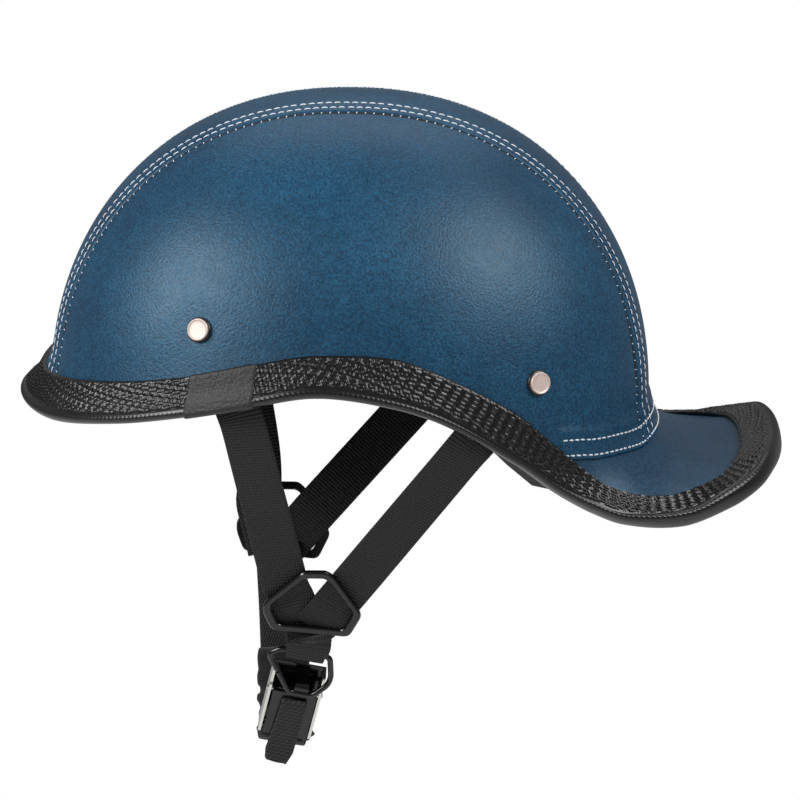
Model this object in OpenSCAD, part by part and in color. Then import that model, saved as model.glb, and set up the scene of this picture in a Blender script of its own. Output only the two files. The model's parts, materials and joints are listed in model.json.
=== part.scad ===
// Half shell helmet with an upswept tail, leather cover, edge trim and a Y harness.
// Millimetres. Front is -X, tail is +X, the wearer's left is -Y, up is +Z.
// The origin is the centre of the head, level with the widest ring of the dome.

/* [Dome] */
// Half length of the leather covered dome
dome_half_length = 128; // [115:1:140]
// Half width of the leather covered dome
dome_half_width = 107; // [98:1:118]
// Height of the dome above the head centre
dome_height = 129.5; // [118:1:142]
// How far the tail reaches past the dome
tail_reach = 53.5; // [40:0.5:60]

/* [Layers] */
// Thickness of the leather cover
cover_t = 1.3; // [1:0.1:1.8]
// Thickness of the hard shell
shell_t = 2.6; // [2.2:0.1:3.2]
// Thickness of the impact foam at the crown
foam_t = 18; // [14:0.5:22]
// Thickness of the cloth lining under the foam
lining_t = 3; // [2:0.5:4]
// Free space between two layers that lie on each other
layer_gap = 0.1; // [0.08:0.01:0.15]
// Thickness of the leather lining under the tail
brim_lining_t = 1; // [0.8:0.1:1.4]

/* [Centre strip and hem] */
// Half width of the strip at the crown
strip_half_w = 24.6; // [22:0.1:28]
// How much wider the strip is at the rim, as a share
strip_widen_share = 0.46; // [0.3:0.02:0.5]
// Width of the open seam beside the strip
seam_w = 1.2; // [0.8:0.1:2]
// How much thicker the folded hem is than the cover
hem_rise = 1.4; // [0.8:0.1:1.8]

/* [Edge trim] */
// Width of the trim flap on the outside
trim_flap = 13.5; // [11:0.5:16]
// Width of the trim flap on the inside
trim_inner_flap = 10; // [7:0.5:12]
// Thickness of the trim
trim_t = 1.8; // [1.4:0.1:2.2]
// Thickness of the trim round the edge
trim_bead = 3; // [2.4:0.1:3.6]
// Thickness of the sleeve over the trim joint
sleeve_t = 1; // [0.8:0.1:1.4]
// Angle from the tail at which the sleeve starts
sleeve_from = 109; // [106:1:112]
// Angle from the tail at which the sleeve ends
sleeve_to = 125; // [120:1:130]

/* [Rivets] */
// Diameter of a rivet cap
rivet_d = 10; // [8:0.5:12]
// Diameter of a rivet post
post_d = 4.3; // [3.6:0.1:5]
// Height of the rivet cap over the leather
rivet_h = 2.6; // [2:0.1:3.2]
// Diameter of the washer behind a rivet
washer_d = 12; // [11:0.5:14]

/* [Webbing] */
// Width of the webbing
webbing_w = 20; // [18:0.5:22]
// Thickness of the webbing
webbing_t = 1.4; // [1.2:0.1:1.6]
// How far the far side of the harness hangs further forward
far_shift = 18; // [0:1:20]

/* [Sliders] */
// Half width of the slider
slider_half_w = 21; // [20:0.5:23]
// Half height of the slider
slider_half_h = 17.3; // [16:0.5:19]
// Thickness of the slider plate
slider_t = 2.4; // [2:0.1:2.8]
// Width of the bars of the slider
slider_bar = 3.6; // [3.2:0.1:4]

/* [Ring and buckle] */
// Diameter of the wire of the ring
wire_d = 3; // [2.6:0.1:3.4]
// Outer width of the buckle
buckle_w = 23; // [22:0.5:25]
// Length of the buckle
buckle_l = 34; // [31:0.5:36]
// Depth of the sides of the buckle
buckle_h = 8; // [7.5:0.5:9]
// Thickness of the sheet metal
sheet_t = 1.2; // [1:0.1:1.4]
// Width of the pull tab
tab_w = 12.5; // [11:0.5:14]
// Length of the pull tab
tab_l = 41; // [36:1:44]

/* [Chin strap] */
// Width of the chin pad
pad_w = 28; // [26:1:32]
// Thickness of the chin pad
pad_t = 6; // [5:0.5:7]

/* [Hidden] */
$fn = 32;

// Shape exponents of the dome: one across its height and one round its plan
dome_power = 2.15;
plan_power = 2.2;
// Where the rim lies, at angles from the tail, as shares of the height and of the tail's reach
rim_angles = [0, 12, 17, 22, 27.5, 34, 38, 44, 52, 67, 80, 95, 110, 125, 140, 160, 180];
rim_height_shares = [-0.135, -0.14, -0.17, -0.21, -0.257, -0.255, -0.218, -0.15, -0.046,
  0.103, 0.177, 0.218, 0.177, 0.123, 0.069, 0.015, 0.008];
rim_reach_shares = [1, 1, 0.97, 0.86, 0.645, 0.346, 0.187, 0.075, 0.028,
  0.019, 0.019, 0.019, 0.019, 0.028, 0.047, 0.112, 0.187];
// Where the wall leaves the dome and how low it aims before it turns out to the rim
wall_shares = [0.015, 0.015, 0.015, 0.015, 0.015, 0.03, 0.046, 0.077, 0.138,
  0.277, 0.346, 0.385, 0.354, 0.308, 0.262, 0.208, 0.2];
dip_shares = [-0.254, -0.254, -0.25, -0.215, -0.165, -0.125, -0.095, -0.05, 0.031,
  0.185, 0.254, 0.292, 0.254, 0.208, 0.146, 0.077, 0.069];
// The hem of the dome cover, as a share of the way down the flare
hem_angles = [0, 12, 24, 30, 36, 40, 43];
hem_shares = [0.28, 0.27, 0.3, 0.34, 0.4, 0.47, 0.52];
hem_end = 43;
// Shares of the way from the crown to the rim
flare_share = 0.62;
cover_end_share = 0.97;
unit_step = 0.002;
turn_step = 0.4;

cover_gap = 5 * layer_gap;
shell_out = cover_t + cover_gap;
shell_in = shell_out + shell_t;
trim_in = shell_in + layer_gap + trim_t;
strap_gap = 0.3;
anchor_gap = 3.5 * strap_gap;
foam_top_inset = shell_in + 4 * layer_gap;
foam_low_inset = trim_in + webbing_t + 4 * strap_gap;
foam_inner_inset = foam_top_inset + foam_t;
// Where the foam steps in to leave room for the webbing, as shares of the height
foam_step_low_share = 0.46;
foam_step_high_share = 0.6;
foam_rear_share = -0.2;
foam_edge_share = 0.03;
foam_dome_share = 0.86;
band_h_share = 0.2;
band_t = 5;

function mirrored(a) = abs(a) > 180 ? 360 - abs(a) : abs(a);
function seg(a, ks, i = 0) = (i >= len(ks) - 2 || a < ks[i + 1]) ? i : seg(a, ks, i + 1);
function slope_at(ks, vs, i) =
  (i == 0 || i == len(ks) - 1) ? 0 : (vs[i + 1] - vs[i - 1]) / (ks[i + 1] - ks[i - 1]);
function smooth_at(a, ks, vs) =
  let (i = seg(a, ks), h = ks[i + 1] - ks[i], s = (a - ks[i]) / h, s2 = s * s, s3 = s2 * s)
  (2 * s3 - 3 * s2 + 1) * vs[i] + (s3 - 2 * s2 + s) * h * slope_at(ks, vs, i)
  + (3 * s2 - 2 * s3) * vs[i + 1] + (s3 - s2) * h * slope_at(ks, vs, i + 1);
function step_between(v, lo, hi) =
  let (s = min(1, max(0, (v - lo) / (hi - lo)))) s * s * (3 - 2 * s);
function unit(v) = v / norm(v);
function mix(a, b, s) = a + (b - a) * s;

// Radius of the plan outline of a dome drawn in by an inset
function plan_r(a, inset = 0) =
  1 / pow(pow(abs(cos(a)) / (dome_half_length - inset), plan_power)
    + pow(abs(sin(a)) / (dome_half_width - inset), plan_power), 1 / plan_power);
// Share of the plan radius at a share of the height
function ring_share(h) = h <= 0 ? 1 : pow(1 - pow(min(1, h), dome_power), 1 / dome_power);
function lean_share(h) =
  h <= 0 ? 0 : pow(h, dome_power - 1) * pow(1 - pow(h, dome_power), 1 / dome_power - 1);

function rim_z(a) = dome_height * smooth_at(mirrored(a), rim_angles, rim_height_shares);
function rim_r(a) =
  plan_r(a) + tail_reach * smooth_at(mirrored(a), rim_angles, rim_reach_shares);
function wall_z(a) = dome_height * smooth_at(mirrored(a), rim_angles, wall_shares);
function dip_z(a) = dome_height * smooth_at(mirrored(a), rim_angles, dip_shares);
function hem_share(a) =
  mirrored(a) >= hem_end ? cover_end_share : smooth_at(mirrored(a), hem_angles, hem_shares);

// Radius and height of the outer surface at an angle and a share of the way to the rim
function profile(a, s) =
  let (
    wz = wall_z(a), wh = max(0, wz / dome_height), r = plan_r(a),
    start = asin(pow(wh, dome_power / 2)),
    r0 = r * ring_share(wh), z1 = dip_z(a),
    r1 = r0 + r * lean_share(wh) * (wz - z1) / dome_height,
    q = (s - flare_share) / (1 - flare_share), p = 1 - q
  )
  s < flare_share
    ? let (b = 90 - (90 - start) * s / flare_share)
      [r * pow(cos(b), 2 / dome_power), dome_height * pow(sin(b), 2 / dome_power)]
    : [p * p * r0 + 2 * p * q * r1 + q * q * rim_r(a),
       p * p * wz + 2 * p * q * z1 + q * q * rim_z(a)];
function at_plan(a, rz) = [rz[0] * cos(a), rz[0] * sin(a), rz[1]];
function skin(a, s) = at_plan(a, profile(a, s));
function skin_normal(a, s) =
  s < 2 * unit_step ? [0, 0, 1]
  : unit(cross(skin(a, min(1, s + unit_step)) - skin(a, s - unit_step),
      skin(a + turn_step, s) - skin(a - turn_step, s)));
function layer(a, s, inset) = skin(a, s) - inset * skin_normal(a, s);
function skin_down(a) = unit(skin(a, 1) - skin(a, 1 - unit_step));
// Share of the way to the rim at a distance above it, measured along the flare
flare_step = 0.08;
function share_above(a, d) =
  let (f = norm(skin(a, 1) - skin(a, 1 - flare_step)) / flare_step) 1 - d / f;

// Points of the inner layers: a plain dome drawn in by an inset, down to a height
function inner_inset(z, top, low) =
  mix(low, top, step_between(z / dome_height, foam_step_low_share, foam_step_high_share));
function inner_point(a, s, top, low, z_end) =
  let (
    h_end = max(0, z_end / (dome_height - top)), start = asin(pow(h_end, dome_power / 2)),
    dome_part = z_end < 0 ? foam_dome_share : 1,
    b = 90 - (90 - start) * min(1, s / dome_part),
    z = (dome_height - top) * pow(sin(b), 2 / dome_power),
    r = plan_r(a, inner_inset(z, top, low)) * pow(cos(b), 2 / dome_power),
    zz = s <= dome_part ? z : z_end * (s - dome_part) / (1 - dome_part)
  )
  at_plan(a, [r, zz]);
function foam_end(a) =
  max(foam_rear_share * dome_height, rim_z(a) + foam_edge_share * dome_height);

// Closed solid between two grids of points that share their rows and columns
module grid_solid(top, low, wrap) {
  n = len(top);
  m = len(top[0]);
  c = n * m;
  last = wrap ? n - 1 : n - 2;
  up = [for (i = [0:last], j = [0:m - 2])
    let (k = (i + 1) % n, a = i * m + j, b = k * m + j)
    each [[a, b, a + 1], [b, b + 1, a + 1]]];
  down = [for (f = up) [f[0] + c, f[2] + c, f[1] + c]];
  edge_a = [for (i = [0:last]) let (k = (i + 1) % n, a = i * m + m - 1, b = k * m + m - 1)
    each [[a, b, a + c], [b, b + c, a + c]]];
  edge_b = [for (i = [0:last]) let (k = (i + 1) % n, a = i * m, b = k * m)
    each [[a, a + c, b], [b, a + c, b + c]]];
  end_a = wrap ? [] : [for (j = [0:m - 2]) each [[j, j + 1, j + c], [j + 1, j + 1 + c, j + c]]];
  e = (n - 1) * m;
  end_b = wrap ? [] : [for (j = [e:e + m - 2])
    each [[j, j + c, j + 1], [j + 1, j + c, j + 1 + c]]];
  polyhedron(concat([for (r = top) each r], [for (r = low) each r]),
    concat(up, down, edge_a, edge_b, end_a, end_b));
}

// Closed bowl between two grids whose first row is one shared point at the crown
module bowl_solid(top, low) {
  n = len(top);
  m = len(top[0]);
  pts = concat([top[0][0], low[0][0]], [for (r = top) for (j = [1:m - 1]) r[j]],
    [for (r = low) for (j = [1:m - 1]) r[j]]);
  w = m - 1;
  c = n * w;
  caps = [for (i = [0:n - 1]) let (k = (i + 1) % n)
    each [[0, 2 + k * w, 2 + i * w], [1, 2 + c + i * w, 2 + c + k * w]]];
  walls = [for (i = [0:n - 1], j = [0:w - 2])
    let (k = (i + 1) % n, a = 2 + i * w + j, b = 2 + k * w + j)
    each [[a, b, a + 1], [b, b + 1, a + 1], [a + c, a + 1 + c, b + c],
      [b + c, a + 1 + c, b + 1 + c]]];
  rims = [for (i = [0:n - 1])
    let (k = (i + 1) % n, a = 2 + i * w + w - 1, b = 2 + k * w + w - 1)
    each [[a, b, a + c], [b, b + c, a + c]]];
  polyhedron(pts, concat(caps, walls, rims));
}

// Closed solid of one section carried along stations
module swept(sections, wrap) {
  n = len(sections);
  m = len(sections[0]);
  last = wrap ? n - 1 : n - 2;
  sides = [for (i = [0:last], j = [0:m - 1])
    let (k = (i + 1) % n, l = (j + 1) % m, a = i * m + j, b = i * m + l, c = k * m + j, d = k * m + l)
    each [[a, b, c], [b, d, c]]];
  fan_a = wrap ? [] : [for (j = [1:m - 2]) [0, j + 1, j]];
  e = (n - 1) * m;
  fan_b = wrap ? [] : [for (j = [1:m - 2]) [e, e + j, e + j + 1]];
  polyhedron([for (s = sections) each s], concat(sides, fan_a, fan_b));
}

slant_power = 4;
// Flat band along centre points, each with its width direction
// With slant, it turns into the given width directions towards its far end
function band_sections(pts, sides, width, th, slant) =
  [for (i = [0:len(pts) - 1])
    let (
      a = pts[max(0, i - 1)], b = pts[min(len(pts) - 1, i + 1)], d = unit(b - a),
      n = unit(cross(d, sides[i])), f = slant ? pow(i / (len(pts) - 1), slant_power) : 0,
      w = unit(mix(unit(cross(n, d)), sides[i], f)),
      x = w * width / 2, y = n * th / 2
    )
    [pts[i] - x + y, pts[i] + x + y, pts[i] + x - y, pts[i] - x - y]];
module band(pts, sides, width, th, slant = false) {
  swept(band_sections(pts, sides, width, th, slant), false);
}

// Puts a piece into a frame given by its origin and its three directions
module in_frame(o, ex, ey, ez) {
  multmatrix([
    [ex[0], ey[0], ez[0], o[0]],
    [ex[1], ey[1], ez[1], o[1]],
    [ex[2], ey[2], ez[2], o[2]],
    [0, 0, 0, 1]
  ]) children();
}

// Hard shell and leather

// Angles round the dome, from the tail: close together where the tail turns, wider elsewhere
tail_turn = 48;
function ring_angles(fine, coarse) = concat(
  [for (i = [0:fine - 1]) -tail_turn + 2 * tail_turn * i / fine],
  [for (i = [0:coarse - 1]) tail_turn + (360 - 2 * tail_turn) * i / coarse]);
shell_rows = [0, 0.06, 0.13, 0.21, 0.29, 0.37, 0.45, 0.53, 0.6, 0.66, 0.72, 0.78, 0.84, 0.9, 0.95, 1];
shell_angles = ring_angles(32, 38);

// The rivets, at an angle from the tail and a share of the way to the rim
rivet_places = [[123, 0.588], [46.5, 0.578]];
rivet_cut = 8;

module at_rivet(side, place) {
  a = side * place[0];
  n = skin_normal(a, place[1]);
  ex = unit(cross([0, 0, 1], n));
  in_frame(skin(a, place[1]), ex, cross(n, ex), n) children();
}
module at_rivets() {
  for (side = [-1, 1], place = rivet_places) at_rivet(side, place) children();
}
module rivet_holes(fit) {
  at_rivets() translate([0, 0, -rivet_cut]) cylinder(d = post_d + 2 * fit, h = 2 * rivet_cut);
}

module hard_shell() {
  color("#16181a") difference() {
    bowl_solid([for (a = shell_angles) [for (s = shell_rows) layer(a, s, shell_out)]],
      [for (a = shell_angles) [for (s = shell_rows) layer(a, s, shell_in)]]);
    rivet_holes(layer_gap / 2);
  }
}

// The strip's half width grows from the crown to the rim
function strip_line(y, h) = y * (1 + strip_widen_share * (1 - min(1, max(0, h))));
function strip_reach(y) = sqrt(dome_half_length * dome_half_length - strip_line(y, 0) * strip_line(y, 0));
front_wall = wall_z(180) / dome_height;
rear_wall = wall_z(0) / dome_height;
// Angle and share of the place on the dome at x, on the strip's line y
function line_place(y0, x) =
  let (
    c = max(-1, min(1, x / strip_reach(y0))), h = pow(sqrt(1 - c * c), 2 / dome_power),
    y = strip_line(y0, h), a = atan2(y, x), k = min(1, norm([x, y]) / plan_r(a)),
    start = asin(pow(max(0, wall_z(a) / dome_height), dome_power / 2))
  )
  [a, flare_share * min(1, (90 - acos(pow(k, dome_power / 2))) / (90 - start))];

// Side panels: columns run from the strip's edge down to the rim or the hem
side_edge = strip_half_w + seam_w / 2;
side_end_steps = [0.1, 0.35, 0.8, 1.6, 3, 5.2, 8.5, 13];
side_mid_start = 18.4;
side_mid_columns = 22;
side_rows = 12;
function hem_lift(a, i) = mirrored(a) < hem_end && i >= side_rows - 1 ? hem_rise : 0;
hem_inner_share = 0.9;
side_rear_y = strip_line(side_edge, rear_wall);
side_front_y = strip_line(side_edge, front_wall);
front_reach = strip_reach(side_edge) * cos(asin(pow(front_wall, dome_power / 2)));
side_rear = atan2(side_rear_y, strip_reach(side_edge));
side_front = atan2(side_front_y, front_reach);
side_angles = concat([for (d = side_end_steps) side_rear + d],
  [for (i = [0:side_mid_columns]) mix(side_rear + side_mid_start, 180 - side_front - side_mid_start,
    i / side_mid_columns)],
  [for (i = [len(side_end_steps) - 1:-1:0]) 180 - side_front - side_end_steps[i]]);
// Angle, share and row of a panel point: column at an angle, rows from the strip to the edge
function side_place(a, i) =
  let (
    top = line_place(side_edge, (a < 90 ? side_rear_y : side_front_y) / tan(a)),
    low = flare_share + (1 - flare_share) * hem_share(a), s = i / side_rows
  )
  [mix(top[0], a, s), mix(top[1], low, s)];

// The left panel; the right one is its mirror image
module left_panel() {
  pts = function (inset) [for (a = side_angles) [for (i = [0:side_rows])
    let (p = side_place(a, i), thin = inset > 0 ? hem_inner_share : 1)
    layer(-p[0], p[1], inset - hem_lift(a, i) * thin)]];
  grid_solid(pts(cover_t), pts(0), false);
}
module side_cover(side) {
  color("#24507a") difference() {
    if (side > 0) mirror([0, 1, 0]) left_panel();
    else left_panel();
    rivet_holes(layer_gap / 2);
  }
}

// Centre strip: lines from the front rim over the crown to the rear hem
strip_lines = 6;
strip_rows = 24;
strip_flare_rows = 4;
function strip_station(y, i) =
  let (
    bf = asin(pow(front_wall, dome_power / 2)), br = asin(pow(rear_wall, dome_power / 2)),
    b = mix(bf, 180 - br, min(1, max(0, (i - strip_flare_rows) / strip_rows))),
    p = line_place(y, -strip_reach(y) * cos(b)),
    low = i < strip_flare_rows ? cover_end_share : hem_share(p[0]),
    q = i < strip_flare_rows ? 1 - i / strip_flare_rows
      : max(0, (i - strip_flare_rows - strip_rows) / strip_flare_rows)
  )
  [p[0], q > 0 ? flare_share + (1 - flare_share) * low * q : p[1]];
strip_last = strip_rows + 2 * strip_flare_rows;
function strip_lift(i) = i >= strip_last - 1 ? hem_rise : 0;

module crown_strip() {
  ys = [for (j = [0:strip_lines]) mix(-strip_half_w, strip_half_w, j / strip_lines)];
  outer = [for (y = ys) [for (i = [0:strip_last])
    let (p = strip_station(y, i)) layer(p[0], p[1], -strip_lift(i))]];
  inner = [for (y = ys) [for (i = [0:strip_last])
    let (p = strip_station(y, i)) layer(p[0], p[1], cover_t - strip_lift(i) * hem_inner_share)]];
  color("#24507a") grid_solid(outer, inner, false);
}

tail_columns = 20;
tail_rows = 6;
tail_side = hem_end - 2;
tail_start_share = 0.02;
module tail_layer(out, in, from_extra, inside) {
  as = [for (i = [0:tail_columns]) mix(-tail_side, tail_side, i / tail_columns)];
  flare = 1 - flare_share;
  pts = function (inset) [for (a = as)
    let (
      s0 = flare_share + flare * (hem_share(a) + from_extra),
      s1 = inside ? share_above(a, trim_inner_flap + strap_gap) : flare_share + flare * cover_end_share
    )
    [for (i = [0:tail_rows]) layer(a, mix(s0, s1, i / tail_rows), inset)]];
  grid_solid(pts(out), pts(in), false);
}
module tail_cover() { color("#2a5078") tail_layer(0, cover_t, tail_start_share, false); }
module brim_lining() {
  color("#181a1c") tail_layer(shell_in + cover_gap, shell_in + cover_gap + brim_lining_t, 0, true);
}

// Edge trim: one section carried round the rim
bead_out_share = 0.9;
bead_low_share = 0.6;
bead_in_share = 0.7;
trim_gap = 3 * layer_gap;
function trim_section(a) =
  let (
    up2 = share_above(a, trim_flap), up1 = share_above(a, trim_flap / 2),
    in2 = share_above(a, trim_inner_flap), in1 = share_above(a, trim_inner_flap / 2), d = skin_down(a),
    edge = skin(a, 1), n = skin_normal(a, 1), g = trim_gap, deep = shell_in + g
  )
  [
    layer(a, up2, -g), layer(a, up2, -trim_t), layer(a, up1, -trim_t), edge + n * trim_bead,
    edge + n * trim_bead * bead_out_share + d * trim_bead * bead_low_share,
    edge - n * deep / 2 + d * trim_bead,
    edge - n * (deep + trim_t * bead_in_share) + d * trim_bead * bead_low_share,
    layer(a, 1, trim_in), layer(a, in2, trim_in), layer(a, in2, deep), layer(a, in1, deep),
    edge - n * deep + d * g, edge + n * g + d * g, layer(a, up1, -g)
  ];
module edge_trim() {
  color("#1b1b1c")
  swept([for (a = shell_angles) trim_section(-a)], true);
}
sleeve_columns = 5;
function sleeve_section(a) =
  let (
    up2 = share_above(a, trim_flap + sleeve_t), up1 = share_above(a, trim_flap / 2),
    edge = skin(a, 1), n = skin_normal(a, 1), d = skin_down(a),
    g = layer_gap, w = sleeve_t
  )
  [
    layer(a, up2, -trim_t - g), layer(a, up2, -trim_t - g - w), layer(a, up1, -trim_t - g - w),
    edge + n * (trim_bead + g + w),
    edge + n * (trim_bead + w) + d * (g + (trim_bead + w) * bead_low_share),
    edge - n * shell_in / 2 + d * (trim_bead + g + w),
    edge - n * shell_in / 2 + d * (trim_bead + g),
    edge + n * (trim_bead * bead_out_share + g) + d * (trim_bead * bead_low_share + g),
    edge + n * (trim_bead + g), layer(a, up1, -trim_t - g)
  ];
module trim_joint_sleeve() {
  color("#232323")
  swept([for (i = [0:sleeve_columns])
    sleeve_section(-mix(sleeve_from, sleeve_to, i / sleeve_columns))], false);
}

// Foam and linings

foam_columns = 48;
foam_rows = [0, 0.1, 0.2, 0.3, 0.4, 0.5, 0.6, 0.7, 0.8, foam_dome_share, 1];
foam_angles = [for (i = [0:foam_columns - 1]) 360 * i / foam_columns - 180];
function inner_grid(top, low, lift) =
  [for (a = foam_angles) [for (s = foam_rows) inner_point(a, s, top, low, foam_end(a) + lift)]];
module impact_liner() {
  color("#2b2b2d")
  bowl_solid(inner_grid(foam_top_inset, foam_low_inset, 0),
    inner_grid(foam_inner_inset, foam_inner_inset, 0));
}
band_h = band_h_share * dome_height;
lining_inset = foam_inner_inset + 12 * layer_gap;
module crown_lining() {
  color("#1e1f21")
  bowl_solid(inner_grid(lining_inset, lining_inset, band_h),
    inner_grid(lining_inset + lining_t, lining_inset + lining_t, band_h));
}
// Padded band round the head, with a crowned face
band_columns = 60;
band_profile_shares = [[0.02, 0.06], [0.55, 0.02], [0.9, 0.14], [1, 0.36], [1, 0.64], [0.9, 0.86],
  [0.55, 0.98], [0.02, 0.94]];
function band_point(a, p) =
  let (
    z0 = foam_end(a), z = z0 + p[1] * (band_h - 2 * layer_gap), inset = lining_inset + p[0] * band_t,
    h = max(0, z / (dome_height - inset))
  )
  at_plan(a, [plan_r(a, inset) * ring_share(h), z]);
module head_band() {
  color("#222326")
  swept([for (i = [0:band_columns - 1])
    [for (p = band_profile_shares) band_point(-360 * i / band_columns, p)]], true);
}

// Rivets

cap_edge_share = 0.35;
cap_face = rivet_h * cap_edge_share;
module rivet_caps() {
  color("#e6cfc4") at_rivets() translate([0, 0, layer_gap / 2]) rotate_extrude()
    polygon([[0, 0], [rivet_d / 2, 0], [rivet_d / 2, rivet_h - cap_face],
      [rivet_d / 2 - cap_face, rivet_h], [0, rivet_h]]);
}
washer_t = 1;
post_in = shell_in + layer_gap + webbing_t + 4 * strap_gap + washer_t;
module rivet_posts() {
  color("#cfc3bc") at_rivets() translate([0, 0, -post_in]) cylinder(d = post_d, h = post_in);
}
module rivet_washers() {
  color("#b8b6b2") at_rivets() translate([0, 0, -post_in]) difference() {
    cylinder(d = washer_d, h = washer_t);
    translate([0, 0, -washer_t]) cylinder(d = post_d + layer_gap, h = 3 * washer_t);
  }
}

// Webbing fixed under the rivets, down to the rim
anchor_steps = 5;
anchor_half_l = 7;
anchor_from_share = 0.36;
anchor_settle_share = 0.6;
direction_step = 0.05;
strap_exit = [[113.5, 0.09], [60.5, 0.0]];
far_exit_turn = [4, 0];
function inner_strap(side, k, s) =
  let (
    r = rivet_places[k], e = strap_exit[k], rz = skin(side * r[0], r[1])[2] / dome_height,
    turn = side > 0 ? far_exit_turn[k] : 0,
    a = side * mix(r[0], e[0] + turn, s), h = mix(rz, e[1], s),
    inset = mix(shell_in + layer_gap + webbing_t / 2 + anchor_gap,
      trim_in + webbing_t / 2 + 2 * strap_gap, step_between(s, 0, anchor_settle_share))
  )
  at_plan(a, [plan_r(a, inset) * ring_share(h), h * dome_height]);
function plan_out(a) =
  let (t = at_plan(a + turn_step, [plan_r(a + turn_step), 0])
    - at_plan(a - turn_step, [plan_r(a - turn_step), 0])) unit([t[1], -t[0], 0]);
function inner_side(side, k, s) =
  let (p = inner_strap(side, k, s), out = plan_out(atan2(p[1], p[0])),
    d = unit(inner_strap(side, k, min(1, s + direction_step))
      - inner_strap(side, k, max(0, s - direction_step))))
  unit(cross(d, out));
module strap_ends(side) {
  color("#161616") for (k = [0, 1]) {
    place = rivet_places[k];
    ss = [for (i = [0:anchor_steps]) mix(anchor_from_share, 1, i / anchor_steps)];
    n = skin_normal(side * place[0], place[1]);
    c = layer(side * place[0], place[1], shell_in + layer_gap + webbing_t / 2 + anchor_gap);
    w = unit(cross(inner_strap(side, k, anchor_from_share) - c, n));
    d = cross(n, w);
    difference() {
      band(concat([c - d * anchor_half_l, c + d * anchor_half_l], [for (s = ss) inner_strap(side, k, s)]),
        concat([w, w], [for (s = ss) inner_side(side, k, s)]), webbing_w, webbing_t);
      at_rivet(side, place) translate([0, 0, -2 * rivet_cut])
        cylinder(d = post_d + 2 * layer_gap, h = 3 * rivet_cut);
    }
  }
}

// Sliders: a flat shield with three bars, one for each piece of webbing

slider_at = [-13.7, -62, -77.4];
lean_y_share = 0.375;
slider_up = unit([0, -lean_y_share, 1]);
slider_out = cross(slider_up, [-1, 0, 0]);
slider_outline_shares = [[-0.18, 1], [0.3, 1], [0.44, 0.86], [1, -0.33], [0.73, -1], [-0.84, -0.8],
  [-1, -0.3], [-1, 0]];
function slider_outline(inset) =
  [for (p = slider_outline_shares)
    [p[0] * (slider_half_w - inset), p[1] * (slider_half_h - inset)]];
// Directions of a slider: across, outward from the head, and up
module in_slider(side) {
  o = slider_at;
  if (side < 0) in_frame(o, [1, 0, 0], -slider_out, slider_up) children();
  else translate([-far_shift, 0, 0]) mirror([0, 1, 0])
    in_frame(o, [1, 0, 0], -slider_out, slider_up) children();
}
module slider_plate() {
  rotate([90, 0, 0]) linear_extrude(slider_t, center = true) difference() {
    polygon(slider_outline(0));
    polygon(slider_outline(slider_bar));
  }
}
module slider(side) { color("#0e0e0f") in_slider(side) slider_plate(); }

// A loop of webbing round a bar: an upright racetrack carried across the webbing's width
loop_gap = 0.35;
module loop_outline(span, hole_t) {
  difference() {
    hull() for (x = [0, span]) translate([x, 0]) circle(d = hole_t + 2 * webbing_t);
    hull() for (x = [0, span]) translate([x, 0]) circle(d = hole_t);
  }
}
loop_hole = slider_t + 2 * loop_gap;
loop_slack = 2.2;
loop_span = slider_bar + 2 * loop_gap - loop_hole + loop_slack;
module bar_loop(turn, at, width) {
  translate([at[0], 0, at[1]]) rotate([0, turn, 0]) translate([0, 0, -loop_span / 2])
    rotate([0, -90, 0]) linear_extrude(width, center = true) loop_outline(loop_span, loop_hole);
}
function bar_mid(i, j) =
  let (p = slider_outline(slider_bar / 2)) (p[i] + p[j]) / 2;
function bar_turn(i, j) =
  let (p = slider_outline(0), d = p[j] - p[i]) -atan2(d[1], d[0]);
front_bar = bar_mid(7, 0);
rear_bar = bar_mid(2, 3);
low_bar = bar_mid(4, 5);
front_turn = bar_turn(7, 0);
rear_turn = bar_turn(2, 3);
low_turn = bar_turn(5, 4);
bar_loop_w = 18.5;

function to_world(side, p) =
  let (q = slider_at + [1, 0, 0] * p[0] + slider_up * p[1])
  side < 0 ? q : [q[0] - far_shift, -q[1], q[2]];
// Free webbing from the rim to its bar
drop_gap = 0.5;
drop_lead = 6;
join_share = 0.4;
strap_stations = [0, 0.25, 0.5, 0.75, 0.9, 1];
function strap_out(side, k) =
  unit(inner_strap(side, k, 1) - inner_strap(side, k, 1 - (1 - anchor_from_share) / anchor_steps));
function strap_from(side, k) = inner_strap(side, k, 1) + strap_out(side, k) * drop_gap;
function strap_to(side, k) =
  let (b = k == 0 ? front_bar : rear_bar, t = k == 0 ? front_turn : rear_turn,
    up = [sin(t), cos(t)], d = loop_hole / 2 + webbing_t * join_share + loop_span / 2)
  to_world(side, b + up * d);
function bar_dir(side, k) =
  let (t = k == 0 ? front_turn : rear_turn, v = [1, 0, 0] * cos(t) - slider_up * sin(t))
  side < 0 ? v : [v[0], -v[1], v[2]];
module v_strap(side, k) {
  a = strap_from(side, k);
  b = strap_to(side, k);
  w0 = inner_side(side, k, 1);
  w1 = bar_dir(side, k);
  w2 = w1 * w0 < 0 ? -w1 : w1;
  color("#161616") {
    band(concat([a], [for (s = strap_stations) mix(a + strap_out(side, k) * drop_lead, b, s)]),
      concat([w0], [for (s = strap_stations) unit(mix(w0, w2, s * s * s))]), webbing_w, webbing_t, true);
    in_slider(side) bar_loop(k == 0 ? front_turn : rear_turn, k == 0 ? front_bar : rear_bar,
      bar_loop_w);
  }
}

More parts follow.
